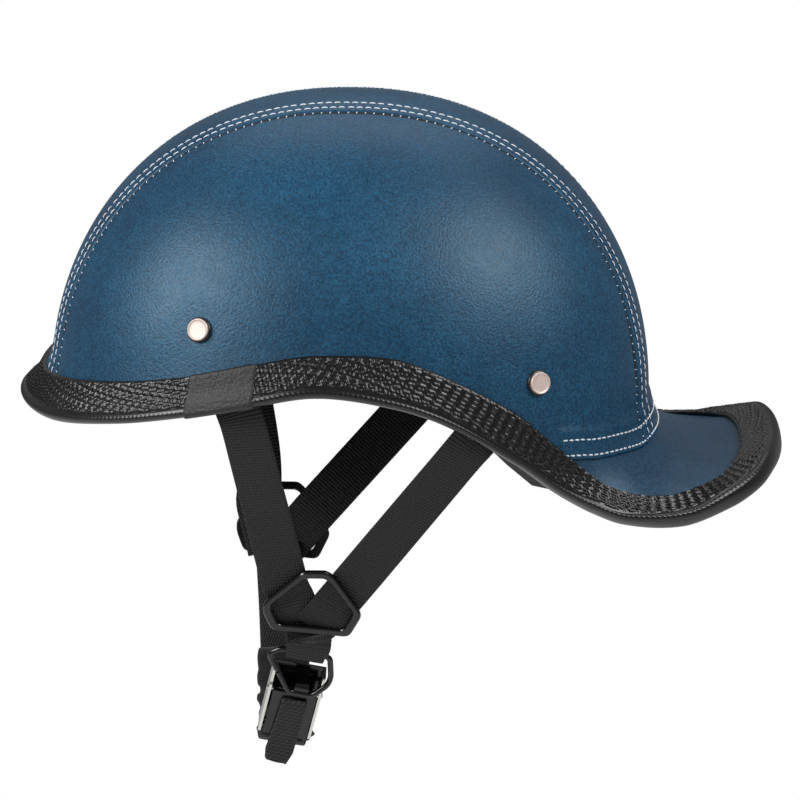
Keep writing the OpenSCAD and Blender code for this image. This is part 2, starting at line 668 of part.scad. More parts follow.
// The ring and the buckle hang from the slider's low bar
hang_lean = 6.5;
hang_inward_share = 0.4;
low_dir = unit([1, 0, 0] * cos(low_turn) - slider_up * sin(low_turn));
hang_across = unit([1, 0, 0] * cos(low_turn + hang_lean) - slider_up * sin(low_turn + hang_lean));
hang_rough = unit([0, -hang_inward_share, 1]);
hang_in = unit(cross(hang_rough, hang_across));
hang_up = cross(hang_across, hang_in);
ring_drop = 12.5;
ring_w = 30;
ring_h = 19.5;
hang_offset = 2.2;
low_loop_w = 16;
ring_room = 0.65;
tilt_room = 1.4;
ring_top = to_world(-1, [low_bar[0] - hang_offset, low_bar[1] - ring_drop]);
module in_hang() { in_frame(ring_top, hang_across, hang_in, hang_up) children(); }

module lower_loop() {
  o = to_world(-1, low_bar) - low_dir * hang_offset;
  up = unit(o - ring_top);
  ey = unit(cross(up, low_dir + hang_across));
  hole = wire_d + 2 * ring_room;
  color("#161616") in_frame(ring_top - up * tilt_room, cross(ey, up), ey, up) rotate([0, -90, 0])
    linear_extrude(low_loop_w, center = true) loop_outline(norm(o - ring_top) + 2 * tilt_room, hole);
}

// Wire ring: straight wires between round corners, as shares of its width and height
ring_shares = [[-0.35, 0], [-0.52, -0.22], [-0.1, -0.97], [0.23, -0.97], [0.45, -0.6], [0.35, 0]];
function ring_corner(i) =
  let (p = ring_shares[i % len(ring_shares)]) [p[0] * ring_w, 0, p[1] * ring_h];
corner_shares = [0.7, 1.05, 0.6, 0.6, 1.05, 0.8];
corner_steps = 4;
wire_sides = 12;
ring_path = [for (i = [1:len(ring_shares)], j = [0:corner_steps])
  let (
    c = ring_corner(i), r = corner_shares[i % len(corner_shares)] * wire_d,
    a = c + unit(ring_corner(i - 1) - c) * r, b = c + unit(ring_corner(i + 1) - c) * r,
    s = j / corner_steps
  )
  (1 - s) * (1 - s) * a + 2 * s * (1 - s) * c + s * s * b];
function ring_section(i) =
  let (
    n = len(ring_path), p = ring_path[i],
    d = unit(unit(ring_path[(i + 1) % n] - p) + unit(p - ring_path[(i + n - 1) % n])),
    x = unit(cross([0, 1, 0], d)), y = cross(d, x)
  )
  [for (k = [0:wire_sides - 1]) let (a = -360 * k / wire_sides)
    p + (x * cos(a) + y * sin(a)) * wire_d / 2];
module wire_ring() {
  color("#1a1a1b") in_hang() swept([for (i = [0:len(ring_path) - 1]) ring_section(i)], true);
}

// Buckle: a sheet metal channel whose rolled eye holds the ring's low wire
wire_room = 0.5;
buckle_top_share = 0.72;
eye_share = 0.2;
ring_front = wire_d / 2 + wire_room;
buckle_top_z = -buckle_top_share * ring_h;
buckle_low_z = buckle_top_z - buckle_l;
buckle_back = ring_front + buckle_h;
eye_at = (ring_corner(2) + ring_corner(3)) / 2;
eye_d = wire_d + 2 * sheet_t;
eye_l = eye_share * ring_w;
pin_d = 2;
pin_below = 3.2;
pin_behind = 1.1;
pin_at = [0, ring_front + pin_behind, eye_at[2] - eye_d / 2 - pin_below];
pin_fit = 0.04;
slot_w = buckle_w - 2 * sheet_t;
side_lip = 0.9;

module x_cylinder(at, d, l) {
  translate([at[0] - l / 2, at[1], at[2]]) rotate([0, 90, 0]) cylinder(d = d, h = l);
}
module x_block(x0, x1, y0, y1, z0, z1) {
  translate([x0, y0, z0]) cube([x1 - x0, y1 - y0, z1 - z0]);
}
buckle_side = [[buckle_back, buckle_top_z], [ring_front, buckle_top_z],
  [ring_front, pin_at[2] + 2 * pin_d], [ring_front - side_lip, pin_at[2] + 1.5 * pin_d],
  [ring_front - side_lip, buckle_low_z], [buckle_back, buckle_low_z]];
module buckle_frame() {
  color("#c9c7c2") in_hang() {
    difference() {
      union() {
        x_block(-buckle_w / 2, buckle_w / 2, buckle_back - sheet_t, buckle_back, buckle_low_z,
          buckle_top_z);
        for (s = [-1, 1]) translate([s * (buckle_w - sheet_t) / 2 - sheet_t / 2, 0, 0])
          rotate([90, 0, 90]) linear_extrude(sheet_t) polygon(buckle_side);
      }
      x_cylinder(pin_at, pin_d, 2 * buckle_w);
    }
    difference() {
      union() {
        x_cylinder(eye_at, eye_d, eye_l);
        x_block(eye_at[0] - eye_l / 2, eye_at[0] + eye_l / 2, 0, buckle_back - sheet_t / 2,
          eye_at[2] + wire_d / 2 + pin_fit, eye_at[2] + eye_d / 2);
      }
      x_cylinder(eye_at, wire_d + 2 * pin_fit, buckle_w);
    }
  }
}
module lever_pin() {
  color("#d8d6d0") in_hang() x_cylinder(pin_at, pin_d, buckle_w + sheet_t);
}

// Lever: a black plate over the channel, with two ears on the pin
lever_room = 1.6;
lever_w = slot_w - lever_room;
lever_t = 2.2;
lever_in = 0.6;
lever_top = 1.8;
lever_short = 1;
lever_front = ring_front - lever_in - lever_t;
lever_top_z = pin_at[2] + lever_top;
lever_low_z = buckle_low_z + lever_short;
ear_w = 2.2;
ear_d = 3.4;
module buckle_lever() {
  color("#131314") in_hang() difference() {
    union() {
      x_block(-lever_w / 2, lever_w / 2, lever_front, lever_front + lever_t, lever_low_z, lever_top_z);
      for (s = [-1, 1]) {
        x = s * (lever_w - ear_w) / 2;
        x_cylinder([x, pin_at[1], pin_at[2]], ear_d, ear_w);
        x_block(x - ear_w / 2, x + ear_w / 2, lever_front + lever_t / 2, pin_at[1],
          pin_at[2] - ear_d / 2, pin_at[2] + ear_d / 2);
      }
    }
    x_cylinder(pin_at, pin_d + 2 * pin_fit, 2 * buckle_w);
  }
}

// Pawl under the lever: its teeth point down the tongue's slope
tooth_pitch = 2;
tooth_h = 0.9;
tongue_w = 12;
tongue_t = 2.6;
tongue_back = buckle_back - sheet_t - 2 * layer_gap;
tongue_front = tongue_back - tongue_t;
tongue_top_gap = 0.8;
tongue_top_z = eye_at[2] - eye_d / 2 - tongue_top_gap;
tongue_drop = 4.8;
yoke_gap = 0.3;
yoke_t = 1.5;
tongue_low_z = buckle_low_z - tongue_drop;
spring_l = 1.8;
spring_gap = 0.25;
pawl_w = lever_w - 2 * ear_w - 2 * spring_l - 4 * spring_gap;
pawl_l = 8;
pawl_gap = 0.3;
pawl_low_z = pin_at[2] - pawl_l;
module ratchet_pawl() {
  color("#b9b7b2") in_hang() difference() {
    union() {
      x_cylinder(pin_at, ear_d, pawl_w);
      x_block(-pawl_w / 2, pawl_w / 2, pin_at[1] - sheet_t, pin_at[1] + sheet_t / 2, pawl_low_z,
        pin_at[2]);
      translate([-pawl_w / 2, 0, 0]) rotate([90, 0, 90]) linear_extrude(pawl_w) polygon([
        [pin_at[1], pawl_low_z], [tongue_front - tooth_h - pawl_gap, pawl_low_z],
        [pin_at[1], pawl_low_z + 2 * tooth_h]]);
    }
    x_cylinder(pin_at, pin_d + 2 * pin_fit, 2 * buckle_w);
  }
}
pawl_pin_d = 0.4;
pawl_pin_up = 2;
module pawl_pin() {
  color("#c9c7c2") in_hang()
    x_cylinder([0, (lever_front + lever_t + pin_at[1] - sheet_t) / 2, pawl_low_z + pawl_pin_up],
      pawl_pin_d, pawl_w);
}
spring_wire = 0.5;
module lever_spring() {
  color("#8f8d88") in_hang() difference() {
    x_cylinder([(pawl_w + spring_l) / 2 + spring_gap, pin_at[1], pin_at[2]],
      pin_d + 2 * (spring_wire + layer_gap), spring_l);
    x_cylinder(pin_at, pin_d + 2 * layer_gap, 2 * buckle_w);
  }
}

// Tongue with saw teeth, and its bar for the chin strap
teeth = 9;
tooth_l_share = 0.9;
yoke_w = tongue_w + 8 * sheet_t;
module toothed_tongue() {
  color("#202022") in_hang() {
    x_block(-tongue_w / 2, tongue_w / 2, tongue_front, tongue_back,
      buckle_low_z - yoke_gap - yoke_t / 2, tongue_top_z);
    for (i = [0:teeth - 1]) translate([-tongue_w / 2, 0, tongue_top_z - (i + 1) * tooth_pitch])
      rotate([90, 0, 90]) linear_extrude(tongue_w)
        polygon([[tongue_front + tooth_h / 9, 0], [tongue_front - tooth_h, 0],
          [tongue_front + tooth_h / 9, tooth_pitch * tooth_l_share]]);
    x_block(-yoke_w / 2, yoke_w / 2, tongue_front, tongue_back, buckle_low_z - yoke_gap - yoke_t,
      buckle_low_z - yoke_gap);
    for (s = [-1, 1]) translate([s * (yoke_w - sheet_t) / 2, 0, 0])
      x_block(-sheet_t / 2, sheet_t / 2, tongue_front, tongue_back, tongue_low_z - sheet_t,
        buckle_low_z - yoke_gap - yoke_t / 2);
    x_cylinder([0, (tongue_front + tongue_back) / 2, tongue_low_z], tongue_t, yoke_w);
  }
}
tongue_loop_l = 0.8;
module tongue_loop() {
  color("#161616") in_hang()
    translate([0, (tongue_front + tongue_back) / 2, tongue_low_z - tongue_loop_l])
      rotate([0, -90, 0]) linear_extrude(bar_loop_w, center = true)
        loop_outline(tongue_loop_l, tongue_t + 2 * layer_gap);
}

// Pull tab: a short piece of webbing on the lever
tab_reach = 4;
tab_top_z = lever_top_z + tab_reach;
module pull_tab() {
  color("#141414") in_hang() x_block(-tab_w / 2, tab_w / 2, lever_front - webbing_t - layer_gap,
    lever_front - layer_gap, tab_top_z - tab_l, pin_at[2]);
}

// Chin strap: hangs from the far slider, passes under the chin and ends at the tongue
function from_hang(p) = ring_top + hang_across * p[0] + hang_in * p[1] + hang_up * p[2];
end_gap = 0.4;
far_drop = 7;
strap_start = from_hang([0,
  tongue_back + layer_gap + webbing_t + end_gap + webbing_t / 2, tongue_low_z]);
far_end = to_world(1, [low_bar[0], low_bar[1] - far_drop]);
chin_low_z = -157.5;
chin_path = [
  strap_start, [-29.4, -21.2, chin_low_z + 7.2], [-29.3, -15.5, chin_low_z + 3],
  [-29, -6, chin_low_z + 0.4], [-29, 6, chin_low_z], [-29.4, 19, chin_low_z + 4.5],
  [-30.3, 32, chin_low_z + 14], [-31.3, 42, chin_low_z + 27], [-32.3, 49, chin_low_z + 44], far_end
];
chin_steps = 3;
chin_last = len(chin_path) - 1;
chin_stations = [for (i = [0:chin_last * chin_steps]) i / chin_steps];
function bar_dir_far() =
  let (v = [1, 0, 0] * cos(low_turn) - slider_up * sin(low_turn)) [v[0], -v[1], v[2]];
far_hole = 8.6;
module chin_strap() {
  o = to_world(1, low_bar);
  up = unit(o - far_end);
  ey = unit(cross(up, bar_dir_far()));
  color("#161616") {
    band([for (s = chin_stations) path_point(s)],
      [for (s = chin_stations) unit(mix(hang_across, bar_dir_far(), s / chin_last))],
      webbing_w, webbing_t);
    in_frame(far_end, cross(ey, up), ey, up) rotate([0, -90, 0])
      linear_extrude(bar_loop_w, center = true) loop_outline(norm(o - far_end), far_hole);
  }
}

// Chin pad: a crowned cushion on the inner face of the strap
pad_shares = [[-0.3, 0], [0.3, 0], [0.5, 0.12], [0.5, 0.6], [0.38, 0.92], [0.13, 1], [-0.13, 1],
  [-0.38, 0.92], [-0.5, 0.6], [-0.5, 0.12]];
pad_from = 1.6;
pad_to = 7.2;
pad_steps = 22;
pad_end_share = 0.8;
pad_swell = [[0, 0.35], [0.04, 0.8], [0.1, 1], [0.9, 1], [0.96, 0.8], [1, 0.35]];
function path_point(s) =
  let (k = min(chin_last - 1, floor(s)), f = s - k,
    p0 = chin_path[max(0, k - 1)], p1 = chin_path[k], p2 = chin_path[k + 1],
    p3 = chin_path[min(chin_last, k + 2)])
  0.5 * (2 * p1 + f * (p2 - p0) + f * f * (2 * p0 - 5 * p1 + 4 * p2 - p3)
    + f * f * f * (3 * p1 - p0 - 3 * p2 + p3));
function pad_section(s) =
  let (
    u = mix(pad_from, pad_to, s), p = path_point(u),
    d = unit(path_point(u + direction_step) - path_point(u - direction_step)),
    w0 = unit(mix(hang_across, bar_dir_far(), u / chin_last)),
    n = unit(cross(w0, d)), w = cross(d, n),
    k = lookup(s, pad_swell)
  )
  [for (q = pad_shares) p + w * q[0] * pad_w * mix(pad_end_share, 1, k)
    + n * (webbing_t / 2 + strap_gap * 3 + q[1] * pad_t * k)];
module chin_pad() {
  color("#1d1d1e") swept([for (i = [0:pad_steps]) pad_section(i / pad_steps)], false);
}

hard_shell();
side_cover(-1);  // side_cover_left
side_cover(1);  // side_cover_right
crown_strip();
tail_cover();
brim_lining();
edge_trim();
trim_joint_sleeve();
impact_liner();
crown_lining();
head_band();
rivet_caps();
rivet_posts();
rivet_washers();
strap_ends(-1);  // strap_ends_left
strap_ends(1);  // strap_ends_right
v_strap(-1, 0);  // front_strap_left
v_strap(-1, 1);  // rear_strap_left
slider(-1);  // slider_left
v_strap(1, 0);  // front_strap_right
v_strap(1, 1);  // rear_strap_right
slider(1);  // slider_right
lower_loop();  // lower_loop_left
wire_ring();
buckle_frame();
ratchet_pawl();
pawl_pin();
buckle_lever();
lever_pin();
lever_spring();
pull_tab();
toothed_tongue();
tongue_loop();
chin_strap();
chin_pad();
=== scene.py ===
# %% [markdown]
# # A half shell helmet in stitched leather
# The helmet is a hard shell in a leather cover, with a pressed trim round its edge and a
# harness of webbing that ends in a quick release buckle. This script dresses a finished frame:
# the frame's solids hold the sizes and the joints, and every cell adds one piece of the looks.
#
# It could be modelled again here, but then the looks and the moving parts would drift apart,
# so each new piece only replaces what a frame part shows.

# %% Load the frame
import json
import math
import bpy
import numpy as np
from mathutils import Matrix, Vector

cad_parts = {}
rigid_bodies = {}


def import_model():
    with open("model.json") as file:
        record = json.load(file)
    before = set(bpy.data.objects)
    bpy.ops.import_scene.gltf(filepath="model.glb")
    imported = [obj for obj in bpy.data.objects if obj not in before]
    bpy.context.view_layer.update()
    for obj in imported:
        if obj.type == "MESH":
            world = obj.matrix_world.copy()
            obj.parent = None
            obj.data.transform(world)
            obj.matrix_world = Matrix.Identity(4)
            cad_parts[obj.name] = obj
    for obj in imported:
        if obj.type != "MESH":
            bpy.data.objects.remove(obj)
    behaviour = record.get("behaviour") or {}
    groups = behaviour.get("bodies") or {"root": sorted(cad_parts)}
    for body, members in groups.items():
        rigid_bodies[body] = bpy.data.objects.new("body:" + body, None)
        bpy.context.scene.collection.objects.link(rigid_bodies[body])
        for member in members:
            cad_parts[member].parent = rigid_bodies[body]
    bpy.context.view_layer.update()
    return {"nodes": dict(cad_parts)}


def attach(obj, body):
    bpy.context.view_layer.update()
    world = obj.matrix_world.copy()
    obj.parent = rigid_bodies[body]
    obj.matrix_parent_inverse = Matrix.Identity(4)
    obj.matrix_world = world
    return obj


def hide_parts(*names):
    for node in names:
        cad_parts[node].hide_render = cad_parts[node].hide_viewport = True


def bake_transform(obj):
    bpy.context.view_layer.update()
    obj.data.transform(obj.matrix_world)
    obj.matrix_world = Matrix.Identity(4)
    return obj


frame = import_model()
nodes = frame["nodes"]
MM = 0.001
print("frame nodes:", len(nodes))

# %% [markdown]
# ## The shared surface
# On a real helmet the shell's mould decides where leather, seams and trim lie. Here one
# formula is the mould: a superellipse for the dome, with an edge that flares out along a
# smooth curve into the tail. The shape could be sculpted by hand, but then no two layers would
# fit each other. With a formula, every seam, stitch and band asks for its place by a plan
# angle from the tail and a share of the way from crown to rim. Lengths are in millimetres.

# %% Sizes of the mould
HALF_L, HALF_W, HEIGHT, TAIL = 128.0, 107.0, 129.5, 53.5
POWER_UP, POWER_ROUND, FLARE = 2.15, 2.2, 0.62
RIM_A = [0, 12, 17, 22, 27.5, 34, 38, 44, 52, 67, 80, 95, 110, 125, 140, 160, 180]
RIM_Z = [-0.135, -0.14, -0.17, -0.21, -0.257, -0.255, -0.218, -0.15, -0.046,
         0.103, 0.177, 0.218, 0.177, 0.123, 0.069, 0.015, 0.008]
RIM_R = [1, 1, 0.97, 0.86, 0.645, 0.346, 0.187, 0.075, 0.028, 0.019, 0.019, 0.019, 0.019,
         0.028, 0.047, 0.112, 0.187]
WALL = [0.015, 0.015, 0.015, 0.015, 0.015, 0.03, 0.046, 0.077, 0.138, 0.277, 0.346, 0.385,
        0.354, 0.308, 0.262, 0.208, 0.2]
DIP = [-0.254, -0.254, -0.25, -0.215, -0.165, -0.125, -0.095, -0.05, 0.031, 0.185, 0.254,
       0.292, 0.254, 0.208, 0.146, 0.077, 0.069]
HEM_A = [0, 12, 24, 30, 36, 40, 43]
HEM_S = [0.28, 0.27, 0.3, 0.34, 0.4, 0.47, 0.52]
HEM_END, COVER_END = 43.0, 0.97
RIVETS = ((123.0, 0.588), (46.5, 0.578))  # front and rear: plan angle and share


def side_word(side):
    """The wearer's left is the side of negative Y."""
    return "left" if side < 0 else "right"


print("dome:", 2 * HALF_L, "by", 2 * HALF_W, "mm, with", len(RIM_A), "places round the rim")

# %% Surface formulas
def smooth_at(a, keys, values):
    """A smooth curve through the table, level at both ends."""
    k, v = np.array(keys, float), np.array(values, float)
    a = np.abs(np.asarray(a, float))
    a = np.where(a > 180, 360 - a, a)
    slope = np.zeros_like(v)
    slope[1:-1] = (v[2:] - v[:-2]) / (k[2:] - k[:-2])
    i = np.clip(np.searchsorted(k, a, side="right") - 1, 0, len(k) - 2)
    h = k[i + 1] - k[i]
    s = np.clip((a - k[i]) / h, 0, 1)
    return ((2 * s**3 - 3 * s**2 + 1) * v[i] + (s**3 - 2 * s**2 + s) * h * slope[i]
            + (3 * s**2 - 2 * s**3) * v[i + 1] + (s**3 - s**2) * h * slope[i + 1])


def cos_d(a):
    return np.cos(np.radians(a))


def sin_d(a):
    return np.sin(np.radians(a))


def plan_r(a, inset=0.0):
    return 1 / ((np.abs(cos_d(a)) / (HALF_L - inset)) ** POWER_ROUND
                + (np.abs(sin_d(a)) / (HALF_W - inset)) ** POWER_ROUND) ** (1 / POWER_ROUND)


def ring_share(h):
    h = np.clip(h, 0, 1)
    return (1 - h**POWER_UP) ** (1 / POWER_UP)


def skin(a, s):
    """The outer surface at a plan angle from the tail and a share of the way to the rim."""
    a, s = np.broadcast_arrays(np.asarray(a, float), np.asarray(s, float))
    wh = np.maximum(smooth_at(a, RIM_A, WALL), 0)
    r, z1 = plan_r(a), smooth_at(a, RIM_A, DIP)
    r_rim = r + TAIL * smooth_at(a, RIM_A, RIM_R)
    z_rim = HEIGHT * smooth_at(a, RIM_A, RIM_Z)
    start = np.arcsin(np.clip(wh ** (POWER_UP / 2), 0, 1))
    r0 = r * ring_share(wh)
    lean = np.where(wh > 0, wh ** (POWER_UP - 1) * (1 - wh**POWER_UP) ** (1 / POWER_UP - 1), 0)
    r1 = r0 + r * lean * (wh - z1)
    b = np.pi / 2 - (np.pi / 2 - start) * np.minimum(s, FLARE) / FLARE
    rd = r * np.cos(b) ** (2 / POWER_UP)
    zd = HEIGHT * np.clip(np.sin(b), 0, 1) ** (2 / POWER_UP)
    q = np.clip((s - FLARE) / (1 - FLARE), 0, 1.1)
    p = 1 - q
    rf = p * p * r0 + 2 * p * q * r1 + q * q * r_rim
    zf = HEIGHT * (p * p * wh + 2 * p * q * z1) + q * q * z_rim
    rr, zz = np.where(s < FLARE, rd, rf), np.where(s < FLARE, zd, zf)
    return np.stack([rr * cos_d(a), rr * sin_d(a), zz], -1)

# %% Directions and distances on the surface
def unit(v):
    v = np.asarray(v, float)
    return v / np.maximum(np.linalg.norm(v, axis=-1, keepdims=True), 1e-12)


def skin_normal(a, s):
    a, s = np.broadcast_arrays(np.asarray(a, float), np.asarray(s, float))
    t = np.maximum(s, 0.004)
    down = skin(a, np.minimum(t + 0.002, 1)) - skin(a, t - 0.002)
    round_ = skin(a + 0.4, t) - skin(a - 0.4, t)
    return unit(np.cross(down, round_))


def layer(a, s, lift):
    """A point that far outside the surface. A negative lift is inside."""
    return skin(a, s) + np.asarray(lift, float)[..., None] * skin_normal(a, s)


def share_above(a, d):
    """Share of the way to the rim at a distance above it."""
    near = 0.08
    f = np.linalg.norm(skin(a, 1.0) - skin(a, 1.0 - near), axis=-1) / near
    return 1 - d / f


def on_flare(part):
    """Share of the way to the rim, for a part of the flared edge alone."""
    return FLARE + (1 - FLARE) * part


def flare_length(a):
    """Length of the flared edge at a plan angle, from a piece in its middle."""
    return np.linalg.norm(skin(a, on_flare(0.3)) - skin(a, on_flare(0.1)), axis=-1) / 0.2


print("rim height at the side:", round(float(skin(90, 1)[2]), 1), "mm")

# %% [markdown]
# ## Small building tools
# Most pieces here are sheets or bands: a table of points with rows and columns. `grid_mesh`
# turns such a table into a mesh. Modelling face by face in the viewport would give the same
# kind of mesh, but a table keeps its order, so the flat place of each point, in millimetres,
# can be stored as its UV. A weave drawn in UV then follows the cloth round every bend.

# %% Mesh from a table
BODY = "helmet"


def mesh_object(name, verts, faces, uvs=None, body=BODY, smooth=True):
    mesh = bpy.data.meshes.new(name)
    mesh.from_pydata([tuple(p) for p in np.asarray(verts, float) * MM], [], [tuple(f) for f in faces])
    mesh.update()
    if uvs is not None:
        uv = mesh.uv_layers.new(name="flat")
        idx = np.zeros(len(mesh.loops), np.int32)
        mesh.loops.foreach_get("vertex_index", idx)
        uv.data.foreach_set("uv", np.asarray(uvs, np.float32)[idx].ravel())
    if smooth:
        mesh.polygons.foreach_set("use_smooth", [True] * len(mesh.polygons))
    obj = bpy.data.objects.new(name, mesh)
    bpy.context.scene.collection.objects.link(obj)
    if body:
        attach(obj, body)
    return obj


def grid_faces(n, m, wrap_n=False, wrap_m=False, flip=False):
    i = np.arange(n if wrap_n else n - 1)
    j = np.arange(m if wrap_m else m - 1)
    i, j = np.meshgrid(i, j, indexing="ij")
    a = i * m + j
    b = ((i + 1) % n) * m + j
    c = ((i + 1) % n) * m + (j + 1) % m
    d = i * m + (j + 1) % m
    return np.stack([a, d, c, b] if flip else [a, b, c, d], -1).reshape(-1, 4)


def flat_uv(points):
    """Distances along the two directions of a grid, in millimetres."""
    du = np.linalg.norm(np.diff(points, axis=0), axis=-1)
    dv = np.linalg.norm(np.diff(points, axis=1), axis=-1)
    u = np.concatenate([np.zeros((1, points.shape[1])), np.cumsum(du, 0)], 0)
    v = np.concatenate([np.zeros((points.shape[0], 1)), np.cumsum(dv, 1)], 1)
    u = np.broadcast_to(u.mean(1, keepdims=True), u.shape)
    v = np.broadcast_to(v.mean(0, keepdims=True), v.shape)
    return np.stack([u, v], -1)


def grid_mesh(name, points, body=BODY, wrap_n=False, wrap_m=False, flip=False, uv=None):
    n, m = points.shape[:2]
    uv = flat_uv(points) if uv is None else uv
    return mesh_object(name, points.reshape(-1, 3), grid_faces(n, m, wrap_n, wrap_m, flip),
                       uv.reshape(-1, 2), body)

# %% [markdown]
# A path starts as a few places that a maker would mark. `catmull` draws a smooth line through
# them and `resample` sets points on it at even distances, so no part of a band looks coarser.

# %% Paths
def catmull(points, steps):
    """A smooth path through the points."""
    p = np.asarray(points, float)
    q = np.concatenate([[2 * p[0] - p[1]], p, [2 * p[-1] - p[-2]]])
    out = []
    for i in range(len(p) - 1):
        for t in np.linspace(0, 1, steps, endpoint=False):
            a, b, c, d = q[i], q[i + 1], q[i + 2], q[i + 3]
            out.append(0.5 * (2 * b + t * (c - a) + t * t * (2 * a - 5 * b + 4 * c - d)
                              + t**3 * (3 * b - a - 3 * c + d)))
    out.append(p[-1])
    return np.array(out)


def resample(points, step):
    """Points at even distances along a path, with the distances."""
    d = np.concatenate([[0], np.cumsum(np.linalg.norm(np.diff(points, axis=0), axis=1))])
    n = max(2, int(round(d[-1] / step)) + 1)
    at = np.linspace(0, d[-1], n)
    return np.stack([np.interp(at, d, points[:, k]) for k in range(3)], 1), at


def step_between(v, lo, hi):
    s = np.clip((v - lo) / (hi - lo), 0, 1)
    return s * s * (3 - 2 * s)

# %% [markdown]
# ## Materials
# Each finish is a small node tree round the Principled shader. Photographs of leather or cloth
# could be wrapped on instead, but noise made by nodes has no edges, needs no image and can be
# sized in millimetres. The helpers below add one node each and give back its output.

# %% Shader and nodes
def shader(name, color=(0.5, 0.5, 0.5), rough=0.5, metallic=0.0, specular=0.5):
    mat = bpy.data.materials.new(name)
    mat.use_nodes = True
    tree = mat.node_tree
    bsdf = tree.nodes["Principled BSDF"]
    bsdf.inputs["Base Color"].default_value = (*color, 1)
    bsdf.inputs["Roughness"].default_value = rough
    bsdf.inputs["Metallic"].default_value = metallic
    bsdf.inputs["Specular IOR Level"].default_value = specular
    return mat, tree, bsdf


def add(tree, kind, **values):
    node = tree.nodes.new(kind)
    for key, value in values.items():
        if key in node.inputs:
            node.inputs[key].default_value = value
        else:
            setattr(node, key, value)
    return node


def coords(tree, which="Object"):
    return tree.nodes.new("ShaderNodeTexCoord").outputs[which]


def noise(tree, size_mm, detail=3.0, rough=0.55):
    node = add(tree, "ShaderNodeTexNoise", Scale=1 / (size_mm * MM), Detail=detail, Roughness=rough)
    tree.links.new(coords(tree), node.inputs["Vector"])
    return node.outputs["Fac"]

# %% Colour and relief nodes
def ramp(tree, fac, stops):
    node = tree.nodes.new("ShaderNodeValToRGB")
    e = node.color_ramp.elements
    e[0].position, e[0].color = stops[0][0], (*stops[0][1], 1)
    e[1].position, e[1].color = stops[-1][0], (*stops[-1][1], 1)
    for pos, col in stops[1:-1]:
        new = e.new(pos)
        new.color = (*col, 1)
    tree.links.new(fac, node.inputs["Fac"])
    return node.outputs["Color"]


def math_node(tree, op, a, b=0.0, clamp=False):
    node = add(tree, "ShaderNodeMath", operation=op, use_clamp=clamp)
    for i, v in enumerate((a, b)):
        if isinstance(v, (int, float)):
            node.inputs[i].default_value = v
        else:
            tree.links.new(v, node.inputs[i])
    return node.outputs[0]


def bump(tree, height, strength=0.3, distance_mm=0.2, after=None):
    node = add(tree, "ShaderNodeBump", Strength=strength, Distance=distance_mm * MM)
    tree.links.new(height, node.inputs["Height"])
    if after is not None:
        tree.links.new(after, node.inputs["Normal"])
    return node.outputs["Normal"]


def mix_color(tree, fac, a, b, blend="MIX"):
    node = add(tree, "ShaderNodeMix", data_type="RGBA", blend_type=blend)
    for i, v in ((0, fac), (6, a), (7, b)):
        if isinstance(v, (int, float)):
            node.inputs[i].default_value = v
        elif isinstance(v, tuple):
            node.inputs[i].default_value = (*v, 1)
        else:
            tree.links.new(v, node.inputs[i])
    return node.outputs[2]

# %% [markdown]
# ### Leather
# The cover is dyed leather: a deep blue with soft cloudy patches, a fine mottle and a pressed
# grain that breaks up the highlights. Three sizes of noise give the three effects. The two
# larger ones only tint the colour; the smallest one also drives the bump, because on leather
# the dark specks are the bottoms of the pores. A bluish specular tint keeps the sheen cool.

# %% Leather
def leather(name, dark, light, rough, grain=0.35, grain_mm=0.9, tint=(0.62, 0.86, 1, 1)):
    mat, tree, bsdf = shader(name, dark, rough)
    bsdf.inputs["Specular Tint"].default_value = tint
    patches = noise(tree, 55, 2.0, 0.5)
    blots = noise(tree, 7, 3.0, 0.6)
    fine = noise(tree, 1.0, 2.0, 0.7)
    base = ramp(tree, patches, [(0.35, dark), (0.68, light)])
    blot = ramp(tree, blots, [(0.3, (0.86, 0.88, 0.9)), (0.7, (1.12, 1.1, 1.08))])
    speck = ramp(tree, fine, [(0.36, (0.4, 0.48, 0.54)), (0.64, (1.6, 1.52, 1.46))])
    base = mix_color(tree, 1.0, base, blot, "MULTIPLY")
    tree.links.new(mix_color(tree, 1.0, base, speck, "MULTIPLY"), bsdf.inputs["Base Color"])
    rough_map = math_node(tree, "ADD", math_node(tree, "MULTIPLY", blots, 0.2), rough - 0.1)
    tree.links.new(rough_map, bsdf.inputs["Roughness"])
    pores = noise(tree, grain_mm, 2.0, 0.6)
    waves = noise(tree, 14, 2.0, 0.4)
    n = bump(tree, waves, 0.25, 0.6)
    tree.links.new(bump(tree, pores, grain, 0.25, n), bsdf.inputs["Normal"])
    return mat


LEATHER = leather("blue leather", (0.0028, 0.030, 0.068), (0.0045, 0.046, 0.098), 0.44, 0.85, 1.0)
TAIL_LEATHER = leather("tail leather", (0.004, 0.026, 0.060), (0.006, 0.034, 0.074), 0.46, 0.4)
INNER_LEATHER = leather("lining leather", (0.008, 0.008, 0.009), (0.012, 0.012, 0.013), 0.6,
                        tint=(1, 1, 1, 1))
print("leathers:", [m.name for m in (LEATHER, TAIL_LEATHER, INNER_LEATHER)])

# %% [markdown]
# ### Vinyl, webbing, thread and cloth
# The trim's pattern is real relief, so its vinyl only needs a fine grain. Webbing is a
# different case: its ribs are about a millimetre, too small to model on every strap, and they
# are what makes nylon look like nylon. Two sine waves on the UV, one along the band and one
# slanted across it, give ribs that stay square to the strap wherever it turns.
# The same height also paints the colour: rib tops lighter and grooves darker, a painted shade and highlight.

# %% Grained black finishes
def plain_grain(name, color, rough, grain_mm, strength, depth_mm=0.1):
    mat, tree, bsdf = shader(name, color, rough)
    tree.links.new(bump(tree, noise(tree, grain_mm, 4.0, 0.6), strength, depth_mm),
                   bsdf.inputs["Normal"])
    return mat


